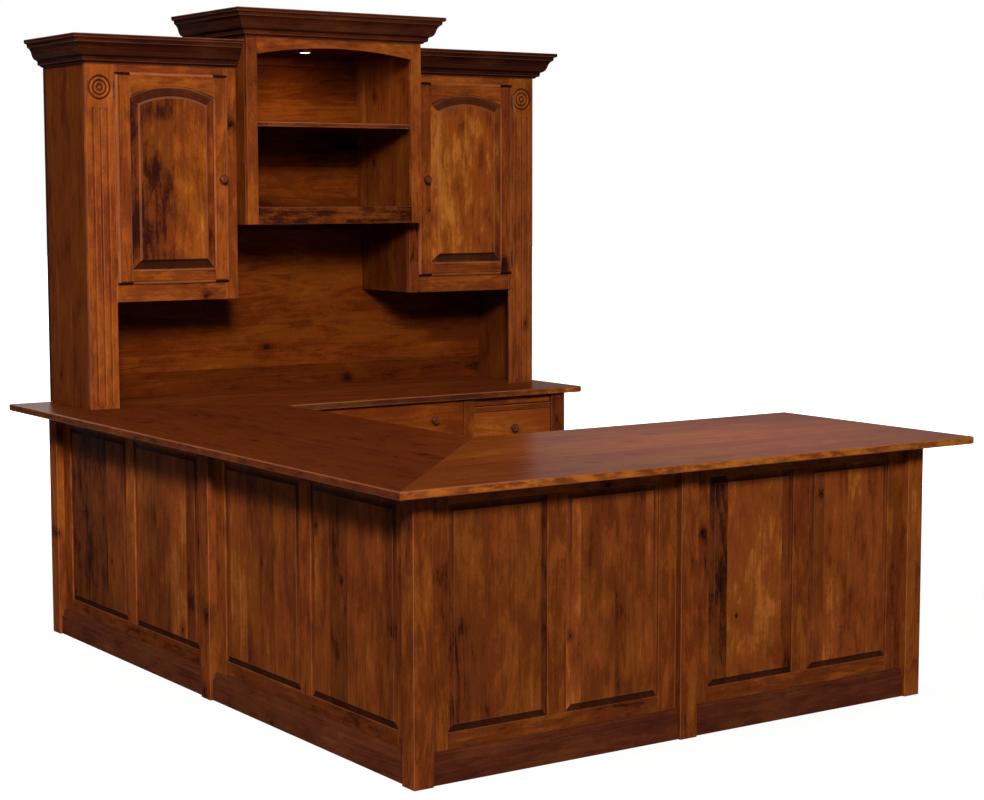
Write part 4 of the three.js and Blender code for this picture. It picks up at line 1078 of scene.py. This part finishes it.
def wing(name, sign):
    """One wing: pilaster, face frame and case. sign is 1 where the outer side is the left one."""
    low, high = box(name + "_face_frame")
    door_low, door_high = box(name + "_door_frame")
    outer = low[X] if sign > 0 else high[X]
    opening_bottom, opening_top = door_low[Z] + door_lip, door_high[Z] - door_lip
    opening_start, opening_stop = door_start + door_lip, door_start + (door_high[X] - door_low[X]) - door_lip

    def part(a0, a1, y0, y1, z0, z1, along, **more):
        x = sorted((outer + sign * a0, outer + sign * a1))
        return board((x[0], y0, z0), (x[1], y1, z1), along, **more)

    start = outer if sign > 0 else outer - pilaster_width
    front, back = face_y, face_y + hutch_board
    frame_boards = [
        pilaster(
            start, hutch_bottom, wing_case_top, hutch_bottom + flute_foot, crown_bottom - flute_drop,
            crown_bottom - rosette_drop, face_y),
        part(pilaster_width, opening_start, front, back, wing_bottom, wing_case_top, Z, tone=0.3),
        part(opening_stop, wing_width, front, back, wing_bottom, wing_case_top, Z),
        part(opening_start, opening_stop, front, back, wing_bottom, opening_bottom, X),
        part(opening_start, opening_stop, front, back, opening_top, wing_case_top, X),
    ]
    piece(name + "_face_boards", frame_boards, "frame_wood", "desk", name + "_face_frame")
    case_low, case_high = box(name + "_wing_case")
    front, back = case_low[Y], case_high[Y]
    inner = wing_width - joint_gap
    inside = inner - hutch_board
    ceiling = wing_case_top - ceiling_drop
    middle = (opening_bottom + ceiling) / 2
    case = [
        part(0, hutch_board, front, back, hutch_bottom, wing_case_top, Z, tone=1.0),
        part(inside, inner, front, back, wing_bottom, wing_case_top, Z),
        part(hutch_board, inside, front, back, opening_bottom - hutch_board, opening_bottom, X),
        part(hutch_board, inside, front, back, ceiling, ceiling + hutch_board, X),
        part(hutch_board, inside, front + hutch_board, back, middle, middle + shelf_thickness, X),
    ]
    piece(name + "_case_boards", case, "inside_wood", "desk", name + "_wing_case")


wing("left", 1)
wing("right", -1)
print("wings", round(wing_width / mm), "mm wide")

# %% [markdown]
# The doors are cope and stick frames with an arched top rail, lipped all round so that they overlap the
# opening. Depth again does the work: the moulded outer edge depends on the distance to the door's edge, and the
# moulded inner edge on the distance to the window, so corners and the arch come out right by themselves.

# %% Doors
door_stile, door_rail, arch_rail, arch_rise = 53 * mm, 50 * mm, 50 * mm, 37 * mm
lip_thickness, rebate = 10.5 * mm, 12 * mm
edge_round, edge_depth, edge_step = 11 * mm, 6 * mm, 1.5 * mm
stick_round, stick_depth, stick_step = 7.5 * mm, 6.5 * mm, 1.0 * mm
band_shares = np.array([0, 0.06, 0.2, 0.4, 0.65, 0.9, 1, 1.04, 1.14])
fine_band = 4 * mm
arch_points = 41
door_smooth = 40
door_field = dict(bevel=26 * mm, foot=4 * mm, step=4.5 * mm, round_width=6 * mm, highlight_rub=0.5, low_bevel_shade=0.35,
                  low_edge_shadow=0.7)


def edge_stations(size, *bands):
    """Places across a member: close together in the moulded bands at its ends, given as (start, width)."""
    fine = [start + width * shares for start, width in bands for shares in (band_shares, 1 - band_shares)]
    places = np.concatenate([[0, size], *fine])
    return np.unique(np.round(places[(places >= 0) & (places <= size)], 6))


def door(name, stile_tones, rail_tones, field_tones):
    """Two stiles, a bottom and an arched rail with moulded edges, the rebate behind them, and the panel."""
    body = name + "_door"
    low, high = box(name + "_door_frame")
    width, height = high[X] - low[X], high[Z] - low[Z]
    spring = height - arch_rail - arch_rise
    window_width = width - 2 * door_stile
    radius = (window_width ** 2 / 4 + arch_rise ** 2) / (2 * arch_rise)
    centre = spring + arch_rise - radius

    def member(across, upward, along, tone):
        """One member on a grid, in the door's own measures."""
        across, upward = np.broadcast_arrays(across, upward)
        to_end = np.minimum(upward, height - upward)
        to_edge = np.minimum(np.minimum(across, width - across), to_end)
        beside = np.maximum(np.abs(across - width / 2) - window_width / 2, 0)
        below = np.maximum(door_rail - upward, 0)
        above = np.maximum(np.hypot(across - width / 2, upward - centre) - radius, 0)
        over = np.where((upward > spring) & (beside < 1e-6), above, np.maximum(upward - spring, 0))
        to_window = np.hypot(beside, np.maximum(below, over))
        depth = quarter_round(to_edge, edge_round, edge_depth) + edge_step * (to_edge < edge_round)
        depth = depth + quarter_round(to_window, stick_round, stick_depth)
        depth = depth + stick_step * (to_window < stick_round)
        # Within both moulded edges the wood is painted pale: a highlight along with rubbing.
        worn_and_lit = 0.45 * ((to_edge < 0.8 * edge_round) | (to_window < 0.8 * stick_round))
        # Thin lines of painted shade run in the step of the outer moulding and of the sticking, and along the
        # joint with the panel.
        stain = np.where(np.abs(to_edge - edge_round) < 0.6 * mm, 0.7, 0)
        stain = np.maximum(stain, np.where(np.abs(to_window - stick_round) < 0.5 * mm, 0.5, 0))
        stain = np.maximum(stain, np.where(to_window < 0.3 * mm, 0.9, 0))
        if along == Z:
            stain = np.where(to_end < 0.8 * edge_round, 0.9, stain)
            worn_and_lit = np.where(to_end < 0.8 * edge_round, 0, worn_and_lit)
        marks = np.zeros((*depth.shape, 3))
        marks[..., RUB_AND_HIGHLIGHT], marks[..., STAIN_AND_SHADE] = worn_and_lit, stain
        return carved_board(low[X] + across, low[Z] + upward, depth, low[Y], lip_thickness, along, tone, marks)

    stile_across = edge_stations(door_stile, (0, edge_round), (door_stile - stick_round, stick_round))[:, None]
    stile_up = edge_stations(
        height, (0, edge_round), (height - edge_round, edge_round), (door_rail - fine_band, fine_band),
        (spring, fine_band))
    rail_across = np.linspace(door_stile, width - door_stile, arch_points)
    rail_up = edge_stations(door_rail, (0, edge_round), (door_rail - stick_round, stick_round))
    arch = centre + np.sqrt(radius ** 2 - (rail_across - width / 2) ** 2)
    edge_share = edge_round / arch_rail
    arch_shares = edge_stations(1.0, (0, stick_round / arch_rail), (1 - edge_share, edge_share))
    arch_up = arch[:, None] + (height - arch)[:, None] * arch_shares
    front, back = low[Y] + lip_thickness, high[Y]

    def behind(a0, a1, z0, z1, along):
        return board((low[X] + a0, front, low[Z] + z0), (low[X] + a1, back, low[Z] + z1), along)

    members = [
        member(stile_across, stile_up, Z, stile_tones[0]),
        member(width - stile_across[::-1], stile_up, Z, stile_tones[1]),
        member(rail_across[:, None], rail_up, X, rail_tones[0]),
        member(rail_across[:, None], arch_up, X, rail_tones[1]),
        behind(rebate, door_stile, rebate, height - rebate, Z),
        behind(width - door_stile, width - rebate, rebate, height - rebate, Z),
        behind(door_stile, width - door_stile, rebate, door_rail, X),
    ]
    arch_low = np.stack([np.full(arch_points, front), low[Z] + arch], 1)
    arch_high = np.tile([back, high[Z] - rebate], (arch_points, 1))
    members.append(bar(low[X] + rail_across, arch_low, arch_high, X))
    piece(name + "_door_members", members, "frame_wood", body, name + "_door_frame", smooth=door_smooth)
    panel_low, panel_high = box(name + "_door_panel")
    panel = raised_panel(
        panel_low[X] + tongue_reach, panel_low[Z] + tongue_reach, window_width, spring - door_rail, arch_rise,
        panel_high[Y] - panel_low[Y], panel_high[Y], "front", **door_field)
    panel["tone"] = tone_run(panel["points"][:, X], field_tones)
    piece(name + "_door_field", [panel], "door_wood", body, name + "_door_panel")
    knob(name + "_door_knob", body, -1)


door("left", (0.0, 0.2), (-1.2, 0.0), (-2.6, 0.5))
door("right", (0.0, -0.2), (0.0, 0.2), (2.5, 1.0))

# %% [markdown]
# The centre cabinet stands forward of the wings, with an arched opening, a shelf and a puck light. Its arched
# rail is a bar whose lower edge changes from station to station. The hutch back is a glued board with its grain
# level, over one darker board that meets the worktop.

# %% Centre cabinet and hutch back
low, high = centre_low, centre_high = box("centre_face_frame")
centre_stile, centre_sill = 40 * mm, 59 * mm
shoulder, rise, arch_drop = 7 * mm, 27 * mm, 57 * mm
arch_end, shelf_ease = 0.2 * mm, 4 * mm
band_height = 83 * mm
opening_bottom = low[Z] + centre_sill
arch_spring = box("centre_crown")[0][Z] - arch_drop
opening_half = (high[X] - low[X]) / 2 - centre_stile
arch_half = opening_half - shoulder
across = np.concatenate([[-opening_half], np.linspace(-arch_half, arch_half, arch_points), [opening_half]])
arch_radius = (arch_half ** 2 + rise ** 2) / (2 * rise)
inside_arch = np.clip(arch_half ** 2 - across ** 2, 0, None)
arch = arch_spring + np.sqrt(arch_radius ** 2 - arch_half ** 2 + inside_arch) - (arch_radius - rise)
rail_low = np.stack([np.full(len(across), low[Y]), arch], 1)
rail_high = np.tile([high[Y], high[Z]], (len(across), 1))
inner_left, inner_right = low[X] + centre_stile, high[X] - centre_stile
members = [
    board(low, (inner_left, high[Y], high[Z]), Z, tone=-0.9),
    board((inner_right, low[Y], low[Z]), high, Z, tone=0.3),
    board((inner_left, low[Y], low[Z]), (inner_right, high[Y], opening_bottom), X, tone=-2.9),
    bar((low[X] + high[X]) / 2 + across, rail_low, rail_high, X, end=arch_end, tone=0.4),
]
piece("centre_face_boards", members, "frame_wood", "desk", "centre_face_frame")

low, high = box("centre_case")
ceiling = high[Z] - ceiling_drop
inner_left, inner_right = low[X] + hutch_board, high[X] - hutch_board
members = [
    board(low, (inner_left, high[Y], high[Z]), Z, tone=-0.2),
    board((inner_right, low[Y], low[Z]), high, Z, tone=1.4),
    board((inner_left, low[Y], opening_bottom - hutch_board), (inner_right, high[Y], opening_bottom), X),
    board((inner_left, low[Y], ceiling), (inner_right, high[Y], ceiling + hutch_board), X),
]
piece("centre_case_boards", members, "inside_wood", "desk", "centre_case")
shelf = board(*box("centre_shelf"), X, ease=shelf_ease, tone=-1.8)
piece("centre_shelf_board", [shelf], "frame_wood", "desk", "centre_shelf")

low, high = box("hutch_back")
band_top = low[Z] + band_height
members = [
    board(low, (high[X], high[Y], band_top), X, tone=-1.5),
    board((low[X], low[Y], band_top), (high[X], high[Y], wing_case_top), X, tone=0.0),
    board((centre_low[X], low[Y], wing_case_top), (centre_high[X], high[Y], high[Z]), X, tone=-0.4),
]
piece("hutch_back_boards", members, "back_wood", "desk", "hutch_back")
print("arch radius", round(arch_radius / mm), "mm")

# %% [markdown]
# A crown goes round its cabinet on mitres: at a corner every point of the profile moves along the wall by as
# much as it stands out from it. Each run is its own moulding, so the grain turns the corner as it does on the
# real one.

# %% Crown mouldings
crown_reach = 66 * mm
crown_shares = np.concatenate([
    [(0, 0), (0.1, 0)], smooth_through([(0.13, 0.05), (0.2, 0.06), (0.28, 0.09)], 4),
    [(0.3, 0.22), (0.36, 0.25)],
    smooth_through([
        (0.42, 0.265), (0.5, 0.31), (0.57, 0.4), (0.61, 0.49), (0.66, 0.59), (0.74, 0.67), (0.84, 0.72)], 4),
    [(0.86, 0.84), (0.93, 0.845), (0.98, 0.87), (1, 0.89), (1, 0.98), (0.98, 1), (0.46, 1), (0, 0.42)],
])


def crown(name, *runs):
    """Runs of crown: (grain axis, end, end), where an end is (place, direction out, slant of its mitre)."""
    low, high = box(name)
    profile = crown_shares * [crown_reach, high[Z] - low[Z]] + [0, low[Z]]
    piece(name + "_runs", [moulding(profile, ends, along) for along, *ends in runs], "crown_wood", "desk", name)


low, high = box("left_crown")
x, y = low[X] + crown_reach, low[Y] + crown_reach
crown("left_crown",
      (Y, ((x, high[Y]), west, none), ((x, y), west, south)),
      (X, ((x, y), south, west), ((high[X], y), south, none)))
low, high = box("right_crown")
x = high[X] - crown_reach
crown("right_crown",
      (X, ((low[X], y), south, none), ((x, y), south, east)),
      (Y, ((x, y), east, south), ((x, high[Y]), east, none)))
low, high = box("centre_crown")
x, x_right, y = low[X] + crown_reach, high[X] - crown_reach, low[Y] + crown_reach
crown("centre_crown",
      (Y, ((x, high[Y]), west, none), ((x, y), west, south)),
      (X, ((x, y), south, west), ((x_right, y), south, east)),
      (Y, ((x_right, y), east, south), ((x_right, high[Y]), east, none)))

# %% [markdown]
# The metal parts are small: butt hinges with knuckles and ball tips in dark bronze, and a puck light, a turned
# rim round a frosted lens that glows.

# %% Hinges and puck light
grit_depth, rib_depth = 0.1 * mm, 0.3 * mm
ribs_per_metre = 4200.0
warmth_per_metre = 36.0
lens_glow = 9.0


def bronze_finish():
    """Dark oiled bronze: a metal whose colour and roughness drift with slow noise, over fine grit."""
    material, tree, shader = new_material("hinge_bronze")
    place = node("ShaderNodeTexCoord", {}, "Object", tree)
    clouds = noise(place * (160.0, 160.0, 60.0), 3.0, 0.6)
    grit = noise(place * (1500.0, 1500.0, 1500.0), 1.0, 0.5)
    feed(shader, {
        "Base Color": ramp(clouds, ((0.3, srgb(60, 34, 22)), (0.7, srgb(98, 62, 40)))),
        "Roughness": spread(clouds, 0.3, 0.7, 0.32, 0.5),
        "Normal": node("ShaderNodeBump", {"Strength": 0.2, "Distance": grit_depth, "Height": grit}),
        "Metallic": 1.0,
    })
    return material


def lens_finish():
    """Frosted glass of a puck light: pale, ribbed in rings round its middle, and glowing."""
    material, tree, shader = new_material("light_lens")
    middle = tuple(sum(box("puck_light")) / 2)
    place = node("ShaderNodeTexCoord", {}, "Object", tree)
    reach = ((place - middle) * (1.0, 1.0, 0.0)).calc("LENGTH", output="Value")
    ribs = (reach * ribs_per_metre).calc("SINE")
    warm = ramp(reach * warmth_per_metre, ((0.0, (1, 0.97, 0.9, 1)), (1.0, (1, 0.86, 0.66, 1))))
    feed(shader, {
        "Normal": node("ShaderNodeBump", {"Strength": 0.3, "Distance": rib_depth, "Height": ribs}),
        "Base Color": warm,
        "Emission Color": warm,
        "Roughness": spread(ribs, -1.0, 1.0, 0.25, 0.4),
        "Emission Strength": lens_glow,
    })
    return material


finishes["hinge_bronze"] = bronze_finish()
finishes["light_lens"] = lens_finish()
hinge_radius, hinge_length, hinge_sides = 3 * mm, 58 * mm, 24
knuckle_gap, leaf_thickness, neck_half = 0.5 * mm, 1.3 * mm, 1.7 * mm
metal_ease = dict(ease=0.4 * mm, end=0.3 * mm)
third = hinge_length / 3
tip = np.array([(0.3, -4.0), (0.62, -3.2), (0.6, -1.6), (0.35, -0.6)]) * [hinge_radius, mm]
knuckle = np.array([(0.86, 0), (1, knuckle_gap), (1, third - knuckle_gap), (0.86, third)]) * [hinge_radius, 1]
knuckles = [knuckle + [0, k * third] for k in range(3)]
hinge_outline = np.concatenate([tip, *knuckles, tip[::-1] * [1, -1] + [0, hinge_length]])


def hinge(name):
    """A butt hinge: three knuckles with ball tips on a pin, and the leaf that reaches into the frame."""
    low, high = box(name)
    left = name.startswith("left")
    axis_x = low[X] + hinge_radius if left else high[X] - hinge_radius
    start = np.array([axis_x, low[Y] + hinge_radius, (low[Z] + high[Z] - hinge_length) / 2])
    barrel = turned(hinge_outline, start, Z, 1, sides=hinge_sides)
    reach = (axis_x, high[X]) if left else (low[X], axis_x)
    leaf_front = high[Y] - leaf_thickness
    bottom, top = start[Z] + third / 2, start[Z] + hinge_length - third / 2
    leaf = board((reach[0], leaf_front, bottom), (reach[1], high[Y], top), Z, **metal_ease)
    neck = board((axis_x - neck_half, start[Y], bottom), (axis_x + neck_half, leaf_front, top), Z, **metal_ease)
    piece(name + "_turned", [barrel, leaf, neck], "hinge_bronze", "desk", name)


for side in ("left", "right"):
    for place in ("lower", "upper"):
        hinge(f"{side}_{place}_hinge")

low, high = box("puck_light")
puck_size = np.array([(high[X] - low[X]) / 2, high[Z] - low[Z]])
base = np.array([(low[X] + high[X]) / 2, (low[Y] + high[Y]) / 2, high[Z]])
rim_shares = np.array([
    (0.9, 0.0), (1, 0.0), (1, 0.6), (0.99, 0.8), (0.97, 0.95), (0.945, 1.0), (0.92, 0.97), (0.905, 0.86),
    (0.9, 0.7), (0.9, 0.3), (0.02, 0.3), (0.02, 0.0),
])
lens_shares = np.concatenate([
    smooth_through([(0.89, 0.32), (0.885, 0.7), (0.7, 0.84), (0.35, 0.93), (0.02, 0.97)], 4), [(0.02, 0.32)]])
piece("puck_light_rim", [turned(rim_shares * puck_size, base, Z, -1)], "hinge_bronze", "desk", "puck_light")
piece("puck_light_lens", [turned(lens_shares * puck_size, base, Z, -1)], "light_lens", "desk", "puck_light")
glow_place = base - [0, 0, puck_size[1] + 4 * mm]
lamp("puck_glow", tuple(glow_place), tuple(base - [0, 0, 1.0]), 0.04, 0.04, 1.2, (1.0, 0.86, 0.68))
